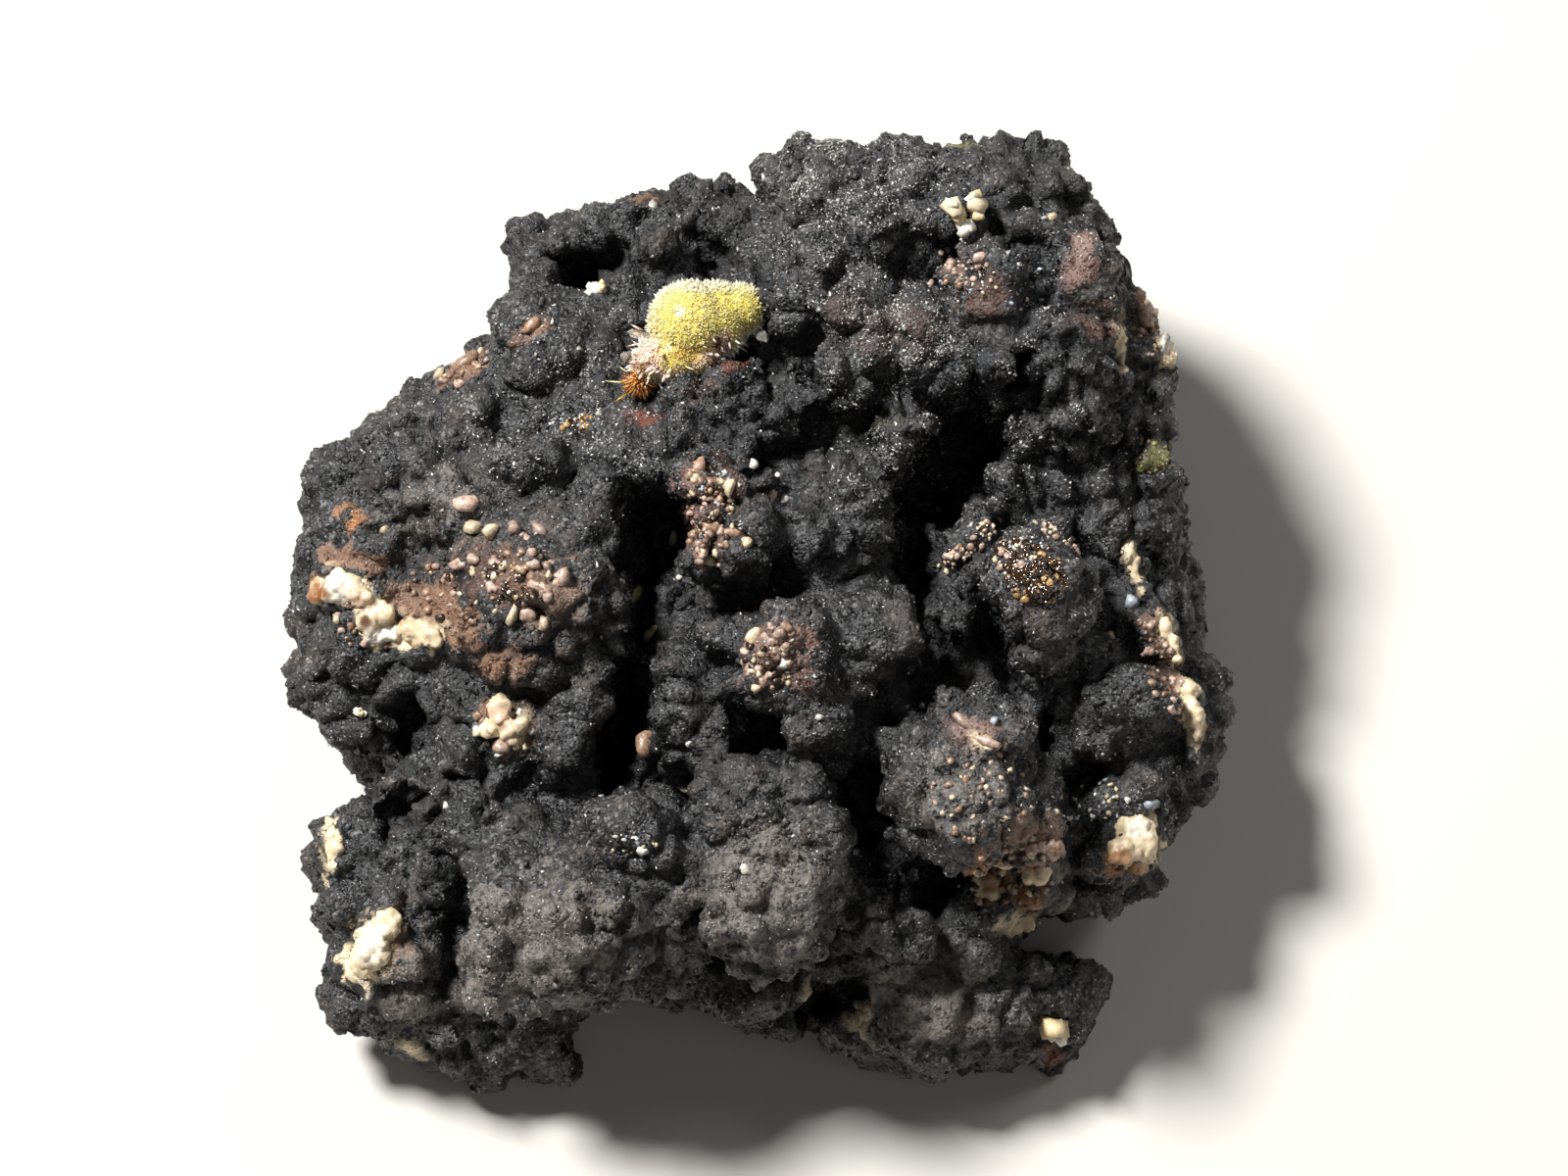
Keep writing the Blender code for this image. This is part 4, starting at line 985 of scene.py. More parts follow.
# The beads: rounded cream, pink and tan grains of later minerals that grew on the crust, singly
# and in clusters, and sit half sunk in it.
# Single ones: colour name, u, v, half width, half height, turn.
BEADS = (
    ("shell", -5.91, 2.11, 0.27, 0.17, 0), ("cream", -5.74, 1.62, 0.21, 0.20, 0),
    ("cream", -5.40, 1.58, 0.22, 0.21, 0), ("shell", -4.92, 1.62, 0.16, 0.16, 0),
    ("shell", -4.40, 1.58, 0.25, 0.12, -60), ("cream", -7.56, 1.58, 0.12, 0.12, 0),
    ("shell", -6.00, 0.90, 0.30, 0.12, 20), ("shell", -3.94, 0.60, 0.20, 0.25, 0),
    ("shell", -4.36, 0.42, 0.28, 0.12, -20), ("shell", -4.24, 0.84, 0.10, 0.10, 0),
    ("cream", -4.94, -0.12, 0.28, 0.13, 70), ("shell", -4.62, -0.12, 0.17, 0.18, 0),
    ("cream", -4.31, -0.32, 0.14, 0.18, 0), ("cream", -2.10, -0.54, 0.22, 0.15, 50),
    ("moss", -2.46, 0.26, 0.24, 0.12, 65),
    ("cream", -5.18, -1.96, 0.20, 0.24, 0), ("cream", -5.40, -2.50, 0.24, 0.28, 0),
    ("cream", -4.80, -2.40, 0.24, 0.22, 0), ("shell", -5.16, -2.85, 0.20, 0.16, 0),
    ("tan", -1.14, 2.86, 0.16, 0.22, 0), ("cream", -0.53, 2.47, 0.16, 0.25, 0),
    ("white", -0.03, 2.93, 0.12, 0.12, 0), ("white", 0.47, 2.69, 0.08, 0.08, 0),
    ("tan", -0.85, 2.54, 0.16, 0.14, 0), ("white", -1.67, 1.44, 0.11, 0.18, 0),
    ("tan", -0.85, 1.61, 0.25, 0.12, -15), ("tan", -0.46, 1.54, 0.28, 0.12, 10),
    ("cream", -0.17, 1.33, 0.16, 0.13, 30), ("cream", -0.85, 0.97, 0.19, 0.20, 0),
    ("shell", 0.33, 2.26, 0.18, 0.10, 75), ("white", 0.61, 2.22, 0.12, 0.10, 0),
    ("white", -1.53, 0.61, 0.08, 0.08, 0), ("cream", -0.03, -0.60, 0.22, 0.28, 0),
    ("white", 0.58, -1.14, 0.13, 0.13, 0), ("cream", 0.04, -1.64, 0.12, 0.12, 0),
    ("cream", -1.39, -3.67, 0.24, 0.14, 5), ("tan", -2.24, -2.81, 0.18, 0.28, 0),
    ("white", -2.28, -4.96, 0.13, 0.13, 0), ("white", -1.35, -2.78, 0.09, 0.09, 0),
    ("white", 3.40, -2.00, 0.09, 0.08, 0), ("white", 1.33, -2.24, 0.10, 0.08, 0),
    ("white", 3.10, -2.03, 0.07, 0.07, 0), ("shell", 4.30, -2.34, 0.32, 0.11, -35),
    ("shell", 4.74, -2.74, 0.36, 0.11, -25), ("glass", 4.86, -2.31, 0.14, 0.14, 0),
    ("glass", 7.68, 0.12, 0.20, 0.16, 0), ("shell", 8.08, -0.38, 0.10, 0.10, 0),
    ("shell", 7.26, -0.60, 0.12, 0.15, 0), ("tan", 6.04, -4.96, 0.14, 0.12, 0),
    ("glass", 8.10, -4.00, 0.19, 0.19, 0),
    ("white", -0.20, -5.36, 0.14, 0.20, 60), ("white", -6.30, -4.04, 0.09, 0.09, 0),
    ("glass", 2.04, -5.00, 0.11, 0.14, 0), ("shell", 4.60, 7.16, 0.14, 0.13, 0),
    ("shell", 4.02, 7.02, 0.10, 0.10, 0), ("shell", 3.60, 6.60, 0.09, 0.09, 0),
    ("cream", 6.06, 7.96, 0.13, 0.12, 0), ("shell", 7.98, 5.95, 0.20, 0.28, 10),
    ("white", 8.35, 5.30, 0.12, 0.42, -10), ("cream", 7.48, 5.10, 0.11, 0.34, 5),
    ("tan", -5.90, 5.00, 0.34, 0.15, 40), ("tan", -4.55, 5.75, 0.26, 0.12, 35),
    ("cream", -6.45, 4.75, 0.20, 0.13, 40), ("white", -2.10, 8.20, 0.18, 0.12, -20),
)
# Clusters: colour name, u, v, half width, half height, turn, count, bead radius.
BEAD_CLUSTERS = (
    ("shell", -4.9, 0.75, 0.9, 0.75, -20, 46, 0.085),
    ("tan", -6.2, 0.25, 1.0, 0.5, -25, 34, 0.07), ("tan", -0.95, 1.9, 0.55, 1.05, 5, 60, 0.080),
    ("shell", 0.35, -1.0, 0.62, 0.72, 0, 58, 0.085),
    ("shell", 4.2, 6.9, 0.65, 0.40, -15, 30, 0.060),
    ("white", 5.2, 6.6, 0.75, 0.65, 0, 22, 0.045),
    ("cream", -5.1, -2.4, 0.60, 0.62, 0, 30, 0.085),
    ("tan", 5.3, -5.4, 1.10, 0.62, 20, 70, 0.075), ("tan", 4.6, -3.9, 1.0, 1.0, 0, 60, 0.060),
    ("shell", 8.3, -1.2, 0.35, 1.10, 20, 44, 0.065),
    ("cream", 7.7, -4.8, 0.50, 0.55, 0, 34, 0.075),
    ("white", -2.5, -4.9, 0.50, 0.35, 0, 18, 0.050),
    ("white", 6.9, -4.0, 0.90, 0.40, 10, 30, 0.060), ("moss", 8.1, 3.1, 0.50, 0.40, 0, 26, 0.050),
    ("shell", 8.1, 5.7, 0.30, 0.60, 0, 18, 0.070), ("tan", -5.9, 4.9, 0.60, 0.25, 40, 22, 0.070),
    ("white", -3.7, 3.8, 0.60, 0.20, 10, 16, 0.050),
    ("shell", -7.9, -0.4, 0.7, 0.5, -30, 26, 0.07),
    ("shell", 5.90, -4.95, 0.30, 0.22, 0, 12, 0.12),
    ("shell", -0.95, 1.70, 0.50, 0.95, 8, 50, 0.060),
    ("white", -0.80, 2.30, 0.40, 0.60, 0, 34, 0.040),
    ("white", 0.35, -1.00, 0.55, 0.60, 0, 34, 0.040),
    ("white", -4.9, 0.6, 0.80, 0.60, -20, 40, 0.040),
    ("white", 4.3, 6.8, 0.60, 0.40, -15, 26, 0.040),
)
BEAD_COLOURS = {
    "cream": "#e0cca8",
    "shell": "#c2a493",
    "tan": "#a3826a",
    "moss": "#8f8b52",
    "white": "#efe9dc",
    "glass": "#a9b0b8",
    "brown": "#34200f",
    "gold": "#a98250",
}
BEAD_SUNK = 0.46
BEAD_SHAPES = 6
BEAD_CORNERS = 14
# The colours that are mixed in a cluster of each name.
BEAD_MIXES = {
    "shell": ("shell", "shell", "tan", "cream", "brown"),
    "tan": ("tan", "tan", "shell", "brown", "cream"),
    "cream": ("cream", "cream", "white", "tan"),
    "white": ("white", "cream", "glass"),
    "moss": ("moss", "moss", "tan", "brown"),
    "brown": ("brown", "brown", "brown", "brown", "brown", "gold"),
    "gold": ("gold", "gold", "brown"),
}
ANGULAR = ("white", "cream", "glass")


def sight(u, v):
    """Where the line of sight through u, v meets or passes the rock, and which way is out."""
    aim = (Vector((u, v, 0)) - EYE).normalized()
    place, normal = rock_tree.ray_cast(EYE, aim)[:2]
    if place is None:
        place, normal = rock_tree.find_nearest(Vector((u, v, 0)))[:2]
    return place, (normal + Vector((0, 0, 1))).normalized()


def cluster(beads, chance):
    """The single beads of a cluster, scattered over its ellipse."""
    colour, u, v, half_width, half_height, turn, count, radius = beads
    angle = math.radians(turn)
    for _ in range(count):
        reach, way = math.sqrt(chance.random()), chance.random() * math.tau
        across, up = reach * math.cos(way) * half_width, reach * math.sin(way) * half_height
        size = radius * chance.uniform(0.5, 1.35)
        mix = BEAD_MIXES[colour]
        yield (
            mix[chance.integers(len(mix))], u + across * math.cos(angle) - up * math.sin(angle),
            v + across * math.sin(angle) + up * math.cos(angle),
            size * chance.uniform(0.9, 1.3), size, chance.uniform(0, 180),
        )


def bead_shape(chance):
    """A bead that grew among others: a ball pushed in here and out there."""
    bm = ball_shape(2)
    shift = Vector(chance.random(3) * 50)
    for vert in bm.verts:
        bulge = 0.55 * noise.noise(vert.co * 1.3 + shift)
        dimple = 0.25 * noise.noise(vert.co * 3.5 + shift)
        vert.co *= 1 + bulge + dimple
    return bm


def bead_piece(name, beads, finish, chance):
    """All the beads as one piece on the rock, in a few shapes, each with its own tint."""
    seats = [sight(u, v) for _, u, v, _, _, _ in beads]
    spots, ups = (np.array([list(seat[i]) for seat in seats]) for i in (0, 1))
    sizes = np.array([(wide, high, min(wide, high)) for _, _, _, wide, high, _ in beads])
    turns = np.radians([bead[5] for bead in beads])
    sides = np.column_stack((np.cos(turns), np.sin(turns), np.zeros(len(turns))))
    spots = spots + ups * sizes[:, 2:3] * (1 - 2 * BEAD_SUNK)
    tints = np.array([linear(BEAD_COLOURS[bead[0]]) for bead in beads])
    tints[:, :3] *= chance.uniform(0.6, 1.1, (len(beads), 1))
    angular = np.array([bead[0] in ANGULAR for bead in beads])
    kind = np.arange(len(beads)) % (BEAD_SHAPES // 2) + np.where(angular, 0, BEAD_SHAPES // 2)
    groups, colours = [], []
    for number in range(BEAD_SHAPES):
        mine = kind == number
        if mine.any():
            is_block = number < BEAD_SHAPES // 2
            shape = block_shape(BEAD_CORNERS, chance) if is_block else bead_shape(chance)
            corners = len(shape.verts)
            group = copies(
                name, shape, spots[mine], ups[mine], sizes[mine], chance, sides=sides[mine],
            )
            if not is_block:
                group.data.shade_smooth()
            groups.append(group)
            colours.append(np.repeat(tints[mine], corners, axis=0))
    piece = join_into(groups[0], groups[1:])
    set_attribute(piece.data, "tint", "FLOAT_COLOR", np.concatenate(colours))
    return put_in_world(piece, finish)


def tinted_mineral(name, roughness, ior, grain, mottling, bump_height, glow=0.0, glow_reach=0.1):
    """A mineral that has its colour from each grain's tint, mottled and pitted at one scale. The
    grain, the bumps and the reach of its inner glow are in millimetres."""
    made, tree, shader = new_material(name)
    where = add_node(tree, "ShaderNodeTexCoord").outputs["Object"]
    tint = add_node(tree, "ShaderNodeAttribute", {"attribute_name": "tint"})
    mottle = add_node(
        tree, "ShaderNodeTexNoise", None,
        {"Scale": 1 / (grain * MM), "Detail": 4.0, "Roughness": 0.65}, Vector=where,
    )
    depth = add_node(
        tree, "ShaderNodeMapRange", None,
        {"From Min": 0.3, "From Max": 0.6, "To Min": 1 - mottling, "To Max": 1.0},
        Value=mottle.outputs["Fac"],
    )
    shown = add_node(
        tree, "ShaderNodeMix", MULTIPLY_COLOURS, {0: 1.0},
        i6=tint.outputs["Color"], i7=depth.outputs["Result"],
    )
    tree.links.new(shown.outputs[2], shader.inputs["Base Color"])
    bump = add_node(
        tree, "ShaderNodeBump", None, {"Strength": 0.7, "Distance": bump_height * MM},
        Height=mottle.outputs["Fac"],
    )
    tree.links.new(bump.outputs["Normal"], shader.inputs["Normal"])
    shader.inputs["Roughness"].default_value = roughness
    shader.inputs["IOR"].default_value = ior
    if glow:
        shader.inputs["Subsurface Weight"].default_value = glow
        shader.inputs["Subsurface Radius"].default_value = (1.0, 1.0, 0.6)
        shader.inputs["Subsurface Scale"].default_value = glow_reach * MM
    return made


beads = list(BEADS)
for patch in BEAD_CLUSTERS:
    beads += cluster(patch, chance)
# The beads' coat is fine grained and waxy, which gives soft highlights and an earthy mottling.
bead_coat = tinted_mineral(
    "bead_coat", roughness=0.32, ior=1.6, grain=0.09, mottling=0.62, bump_height=0.03,
)
pale_beads = bead_piece("pale_beads", beads, bead_coat, chance)


# The pale veins: cream to ochre mineral that fills gaps in the crust and stands a little proud
# of it. Each is a run of lumps grown together: u, v, half width, half height, turn.
VEINS = (
    (-8.46, 0.42, 0.36, 0.30, -10), (-8.86, 0.34, 0.20, 0.30, 0), (-8.10, 0.26, 0.36, 0.20, -35),
    (-7.75, -0.02, 0.44, 0.20, -40), (-7.60, -0.50, 0.50, 0.20, 10),
    (-7.20, -0.60, 0.50, 0.22, 0), (-6.85, -0.50, 0.42, 0.24, -18),
    (-6.58, -0.62, 0.26, 0.16, -20), (-7.92, -0.30, 0.20, 0.24, 0), (7.80, -4.70, 0.40, 0.42, 10),
    (7.55, -4.95, 0.30, 0.26, 0), (7.95, -4.40, 0.24, 0.24, 0), (-7.80, -6.95, 0.36, 0.62, -25),
    (-7.50, -6.50, 0.24, 0.34, -20), (-8.58, -4.90, 0.14, 0.52, -8), (4.70, -5.70, 0.26, 0.32, 0),
    (5.40, -6.45, 0.34, 0.18, 20), (5.75, -5.35, 0.28, 0.24, 30), (5.05, -5.15, 0.24, 0.18, 0),
    (-5.20, -2.10, 0.22, 0.28, 10), (-5.00, -2.50, 0.24, 0.26, 0), (8.92, -2.10, 0.14, 0.60, 12),
    (8.50, -0.70, 0.11, 0.50, 22), (7.75, 0.80, 0.10, 0.55, 16),
)
VEIN_THICK = 0.7
VEIN_VOXEL = 0.055
VEIN_CRUMBLE = (0.35, 0.10)
# Their colours, from the first laid on: name, u, v, half width, half height, turn, cover.
VEIN_TINTS = (
    ("cream", 0.0, 0.0, 99.0, 99.0, 0, 1.0), ("white", -8.50, 0.45, 0.22, 0.34, 0, 1.0),
    ("ochre", -8.92, 0.32, 0.20, 0.30, 0, 1.0), ("petal", -7.95, 0.10, 0.50, 0.16, -40, 0.7),
    ("rust", -7.92, -0.30, 0.10, 0.16, 0, 0.9), ("white", -7.60, -0.55, 0.40, 0.24, 10, 0.9),
    ("ochre", -7.25, -0.30, 0.24, 0.12, 0, 0.6), ("ochre", 7.50, -5.05, 0.30, 0.20, 0, 0.8),
    ("white", 7.85, -4.50, 0.24, 0.24, 0, 0.8), ("white", -7.80, -6.90, 0.24, 0.42, -25, 0.7),
    ("ochre", 4.75, -5.60, 0.20, 0.24, 0, 0.8), ("ochre", 5.75, -5.30, 0.20, 0.16, 0, 0.7),
    ("petal", 5.05, -5.15, 0.30, 0.24, 0, 0.8), ("petal", -5.10, -2.30, 0.30, 0.30, 0, 0.7),
)
STAIN_AND_PAINTED_LIGHT_COLOURS.update({"white": "#eee6d6", "petal": "#c9a48c"})

veins = bmesh.new()
for u, v, half_width, half_height, turn in VEINS:
    half_thick = min(half_width, half_height) * VEIN_THICK
    ellipsoid(veins, sight(u, v)[0], (half_width, half_height, half_thick), turn)
vein = one_skin(link("cream_veins", veins), VEIN_VOXEL)
vein_places, vein_ups = vectors_of(vein.data, "co"), vectors_of(vein.data, "normal")
vein_tints = stain_and_painted_light_colours(vein_places, np.ones_like(vein_ups), VEIN_TINTS)
set_attribute(vein.data, "tint", "FLOAT_COLOR", vein_tints)
spacing, height = VEIN_CRUMBLE
vein_places += vein_ups * (crumbled(vein_places, spacing) * height)[:, None]
vein.data.vertices.foreach_set("co", vein_places.ravel())
vein.data.shade_smooth()
# Vein filling is fine grained and lets a little light in, which softens its edges and hollows.
cream_vein = tinted_mineral(
    "cream_vein", roughness=0.38, ior=1.6, grain=0.12, mottling=0.35, bump_height=0.03,
    glow=0.25, glow_reach=0.12,
)
put_in_world(vein, cream_vein)


# The glossy goethite beads: a crust of brown and golden beads that lines a hollow of the right
# knob, with a paler rim, and a few more by the ball and on the left knob.
GLOSSY_CLUSTERS = (
    ("brown", 5.70, 0.72, 0.62, 0.58, 0, 150, 0.065),
    ("brown", 5.98, 0.42, 0.46, 0.42, 0, 70, 0.055),
    ("gold", 5.90, 0.45, 0.40, 0.40, 0, 16, 0.050),
    ("shell", 5.35, 1.05, 0.45, 0.34, 0, 40, 0.060),
    ("shell", 4.40, 1.25, 0.85, 0.22, 40, 50, 0.055),
    ("shell", 6.20, 1.45, 0.60, 0.14, -35, 30, 0.050),
    ("white", 5.55, 0.95, 0.55, 0.50, 0, 36, 0.040),
    ("gold", -3.60, 3.80, 0.40, 0.16, 10, 18, 0.050),
    ("brown", -5.00, 0.45, 0.60, 0.40, -20, 30, 0.06),
)

beads = []
for patch in GLOSSY_CLUSTERS:
    beads += cluster(patch, chance)
# Goethite is hard, refracts strongly and grows with a smooth skin: each bead has a sharp glint.
goethite = tinted_mineral(
    "goethite", roughness=0.10, ior=2.0, grain=0.05, mottling=0.3, bump_height=0.006,
)
brown_beads = bead_piece("brown_beads", beads, goethite, chance)
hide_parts("brown_bead_crust")


# The cobaltarthurite: a ball of fused needles that stand out all round, yellow inside and pale at
# the tips, with a coarser foot, pink below and stained with rust. It is grown onto the floor of a
# pocket.
# Its lobes: u, v, w and radius.
BALL_LOBES = (
    (-1.30, 5.76, 1.25, 0.79), (-0.28, 6.05, 1.10, 0.46), (-1.62, 5.10, 1.38, 0.50),
    (-1.18, 5.14, 1.30, 0.47), (-0.84, 5.78, 1.16, 0.64), (-0.74, 6.03, 1.10, 0.53),
    (-2.05, 4.98, 1.22, 0.37),
)
BALL_CORE = 1.02
BALL_VOXEL = 0.045
BALL_NEEDLES = 5200
NEEDLES_FACING = -0.55
NEEDLE_LENGTH = (0.08, 0.15)
RIM_NEEDLE = (0.30, 0.045)
NEEDLE_HALF_WIDTH = (0.018, 0.036)
NEEDLE_SHOULDER = 0.62
NEEDLE_BURIED = 0.50
RIM_STARTS = 0.75
BLADES = 150
BLADES_BELOW = 5.45
BLADES_FACING = -0.3
BLADE_SIZE = (0.050, 0.022, 0.34)
BLADE_SHOULDER = 0.7
BLADE_BURIED = 0.3
BLADE_TIP = 0.75
# Colour name, u, v, half width, half height, turn, cover.
BALL_TINTS = (
    # The lemon patch is painted light on the middle of the ball, and the olive patch painted shade
    # on its right lobe.
    ("lemon", -1.35, 5.75, 0.62, 0.55, 0, 0.8), ("straw", -0.9, 6.55, 1.3, 0.16, -3, 0.7),
    ("olive", -0.25, 6.15, 0.42, 0.42, 0, 0.6), ("amber", -1.5, 5.20, 0.38, 0.20, 10, 0.6),
    ("petal", -2.25, 5.15, 0.42, 0.40, 0, 0.9), ("petal", -1.55, 4.72, 0.70, 0.26, -5, 0.85),
    ("petal", -0.75, 5.15, 0.30, 0.45, -35, 0.8), ("rust", -0.86, 4.93, 0.10, 0.55, -43, 0.95),
    ("rust", -1.20, 4.62, 0.36, 0.12, 30, 0.9), ("rust", -0.52, 5.42, 0.06, 0.08, 0, 0.9),
    ("rust", -2.30, 4.85, 0.34, 0.14, -30, 0.8), ("rust", -0.76, 5.38, 0.08, 0.10, 20, 1.0),
)
TINT_COLOURS = {
    "yellow": "#e6cf62",
    "lemon": "#f0dc76",
    "straw": "#d6cb94",
    "olive": "#cfc052",
    "amber": "#d8a53c",
    "petal": "#e9bfa0",
    "rust": "#7d3510",
}
PALE_TIP = "#ece7d2"
TIP_SHARE = (0.04, 0.9)
STAIN_AND_PAINTED_LIGHT_COLOURS.update(TINT_COLOURS)


def needle_shape(shoulder):
    """A four sided needle of height 1 on the origin, straight to its shoulder and then pointed."""
    bm = bmesh.new()
    bmesh.ops.create_cone(
        bm, cap_ends=True, segments=4, radius1=1, radius2=0.8, depth=shoulder,
        matrix=Matrix.Translation((0, 0, shoulder / 2)),
    )
    top = max(bm.faces, key=lambda face: face.calc_center_median().z)
    bmesh.ops.poke(bm, faces=[top], offset=1 - shoulder)
    return bm


def ball_tints(spots, ups):
    """Yellow where the ball faces the viewer, paler round its rim, with the stains, the painted
    light and the painted shade of BALL_TINTS laid over it.
    """
    rim = np.clip(RIM_STARTS - ups[:, 2], 0, RIM_STARTS)[:, None]
    yellow, straw = (np.array(linear(TINT_COLOURS[name])) for name in ("yellow", "straw"))
    base = yellow * (1 - rim) + straw * rim
    stain = stain_and_painted_light_colours(spots, np.ones_like(ups), BALL_TINTS)
    base[:, :3] = base[:, :3] * (1 - stain[:, 3:4]) + stain[:, :3] * stain[:, 3:4]
    base[:, 3] = 1
    return base


def pale_tips(piece, base, amounts, shape_share):
    """The copies' own tints, each mixed towards a needle's pale tip by its amount."""
    rows = np.repeat(base, len(shape_share), axis=0)
    shape = np.outer(amounts, shape_share).ravel()[:, None]
    tints = rows * (1 - shape) + np.array(linear(PALE_TIP)) * shape
    set_attribute(piece.data, "tint", "FLOAT_COLOR", tints)


core_shape = bmesh.new()
for u, v, w, radius in BALL_LOBES:
    inner = radius * BALL_CORE
    ellipsoid(core_shape, (u, v, w), (inner, inner, inner), detail=4)
core = one_skin(link("ball_core", core_shape), BALL_VOXEL)
core_places, core_ups = vectors_of(core.data, "co"), vectors_of(core.data, "normal")
set_attribute(core.data, "tint", "FLOAT_COLOR", ball_tints(core_places, core_ups))

in_sight = (core_ups[:, 2] > NEEDLES_FACING).astype(float)
spots, ups = spots_on(core.data, BALL_NEEDLES, chance, in_sight)
at_rim = np.clip(RIM_STARTS - ups[:, 2], 0, RIM_STARTS) * chance.random(BALL_NEEDLES) ** 1.5
lengths = chance.uniform(*NEEDLE_LENGTH, BALL_NEEDLES) + RIM_NEEDLE[0] * at_rim
widths = chance.uniform(*NEEDLE_HALF_WIDTH, BALL_NEEDLES) + RIM_NEEDLE[1] * at_rim
one_needle = needle_shape(NEEDLE_SHOULDER)
tip_share = np.array([0.8 * vert.co.z ** 2 for vert in one_needle.verts])
needles = copies(
    "ball_needles", one_needle, spots - ups * lengths[:, None] * NEEDLE_BURIED, ups,
    np.column_stack((widths, widths, lengths)), chance, lean=0.34,
)
tips = np.clip(TIP_SHARE[0] + TIP_SHARE[1] * at_rim, 0, 1)
tints = ball_tints(spots, ups) * chance.uniform(0.85, 1.1, (BALL_NEEDLES, 1))
pale_tips(needles, tints, tips, tip_share)

foot = (core_places[:, 1] < BLADES_BELOW) * np.clip(0.9 - core_ups[:, 2], 0.05, 1)
foot = foot * (core_ups[:, 2] > BLADES_FACING)
spots, ups = spots_on(core.data, BLADES, chance, foot)
sizes = np.array(BLADE_SIZE) * chance.uniform(0.6, 1.3, (BLADES, 3))
one_blade = needle_shape(BLADE_SHOULDER)
tip_share = np.array([vert.co.z for vert in one_blade.verts])
blades = copies(
    "ball_blades", one_blade, spots - ups * sizes[:, 2:3] * BLADE_BURIED, ups, sizes, chance,
    lean=0.30,
)
pale_tips(blades, ball_tints(spots, ups), np.full(BLADES, BLADE_TIP), tip_share)

# Cobaltarthurite is silky to glassy, and light goes in and comes out beside, so the ball glows.
cobaltarthurite = tinted_mineral(
    "cobaltarthurite", roughness=0.22, ior=1.7, grain=0.09, mottling=0.15, bump_height=0.01,
    glow=0.7, glow_reach=0.25,
)
for piece in (core, needles, blades):
    put_in_world(piece, cobaltarthurite)
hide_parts("cobaltarthurite_ball")


# The iron stained spray: a small tuft of the same needles, orange brown from iron, that grew on
# the crust below left of the ball, with six long pale needles round it.
# Where it grows, and the two shares of its reach: u, v, root and needles.
SPRAY = (-2.36, 4.56, 0.24, 0.24)
SPRAY_NEEDLES = 340
SPRAY_WIDTH = (0.014, 0.034)
SPRAY_LIFT = 0.25
SPRAY_AIM = np.array((-0.5, -0.8, 0.9))
SPRAY_TINTS = ("#b9641f", "#d6943a", "#8a4316", "#a3521b", "#e6b468")
LONG_SHOULDER = 0.45
LONG_LIFT = 0.22
# Colour name, u, v, half width, length, and how far it leans to the right and upwards in degrees.
LONG_NEEDLES = (
    ("straw", -2.48, 4.56, 0.034, 0.62, -80, 6), ("petal", -2.22, 5.50, 0.060, 0.42, -70, 18),
    ("petal", -2.25, 5.62, 0.045, 0.36, -62, 26), ("petal", -2.30, 5.38, 0.040, 0.34, -75, -10),
    ("straw", -2.50, 4.72, 0.026, 0.40, -50, 30), ("amber", -2.60, 4.36, 0.026, 0.36, -60, -30),
)


def spray_of_needles():
    u, v, radius, reach = SPRAY
    seat, out = sight(u, v)
    middle = np.array(seat + out * SPRAY_LIFT)
    ways = chance.normal(size=(SPRAY_NEEDLES, 3)) + np.array(out) * 0.4 + SPRAY_AIM
    ways /= np.linalg.norm(ways, axis=1)[:, None]
    lengths = (radius + reach) * chance.uniform(0.55, 1.0, SPRAY_NEEDLES)
    widths = chance.uniform(*SPRAY_WIDTH, SPRAY_NEEDLES)
    piece = copies(
        "iron_spray", needle_shape(NEEDLE_SHOULDER), middle + ways * 0.02, ways,
        np.column_stack((widths, widths, lengths)), chance,
    )
    tints = np.array([linear(colour) for colour in SPRAY_TINTS])
    give(piece, SPRAY_NEEDLES, tint=tints[chance.integers(0, len(tints), SPRAY_NEEDLES)])
    return piece


def leaning(right, up):
    """The direction that leans to the right and upwards by so many degrees from the viewer's."""
    rise = Matrix.Rotation(math.radians(-up), 4, "X")
    return Matrix.Rotation(math.radians(right), 4, "Y") @ rise @ Vector((0, 0, 1))


spray = spray_of_needles()
long_seats = [sight(u, v)[0] for _, u, v, *_ in LONG_NEEDLES]
long_ways = np.array([list(leaning(right, up)) for *_, right, up in LONG_NEEDLES])
long_sizes = np.array([(half, half, length) for _, _, _, half, length, _, _ in LONG_NEEDLES])
long_spots = np.array([list(seat) for seat in long_seats]) + np.array((0, 0, LONG_LIFT))
long_shape = needle_shape(LONG_SHOULDER)
long_needles = copies("long_needles", long_shape, long_spots, long_ways, long_sizes, chance)
long_tints = np.array([linear(TINT_COLOURS[colour]) for colour, *_ in LONG_NEEDLES])
give(long_needles, len(LONG_NEEDLES), tint=long_tints)
# The same mineral with iron oxide in it: less light gets through, and the faces stay glassy.
iron_stained = tinted_mineral(
    "iron_stained_needles", roughness=0.25, ior=1.7, grain=0.10, mottling=0.4, bump_height=0.006,
    glow=0.3, glow_reach=0.12,
)
for piece in (spray, long_needles):
    put_in_world(piece, iron_stained)
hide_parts("iron_stained_spray")


# The clear crystals: three colourless prisms that grew beside the ball. They keep their solids,
# which are faceted as the real ones are. The mineral is an arsenate: its flat faces shine, and a
# faint veil inside keeps it from being quite as clear as glass. The veil's size is in millimetres.
VEIL_SIZE = 0.12
VEIL_DEPTH = 0.004
CLEARNESS = 0.85


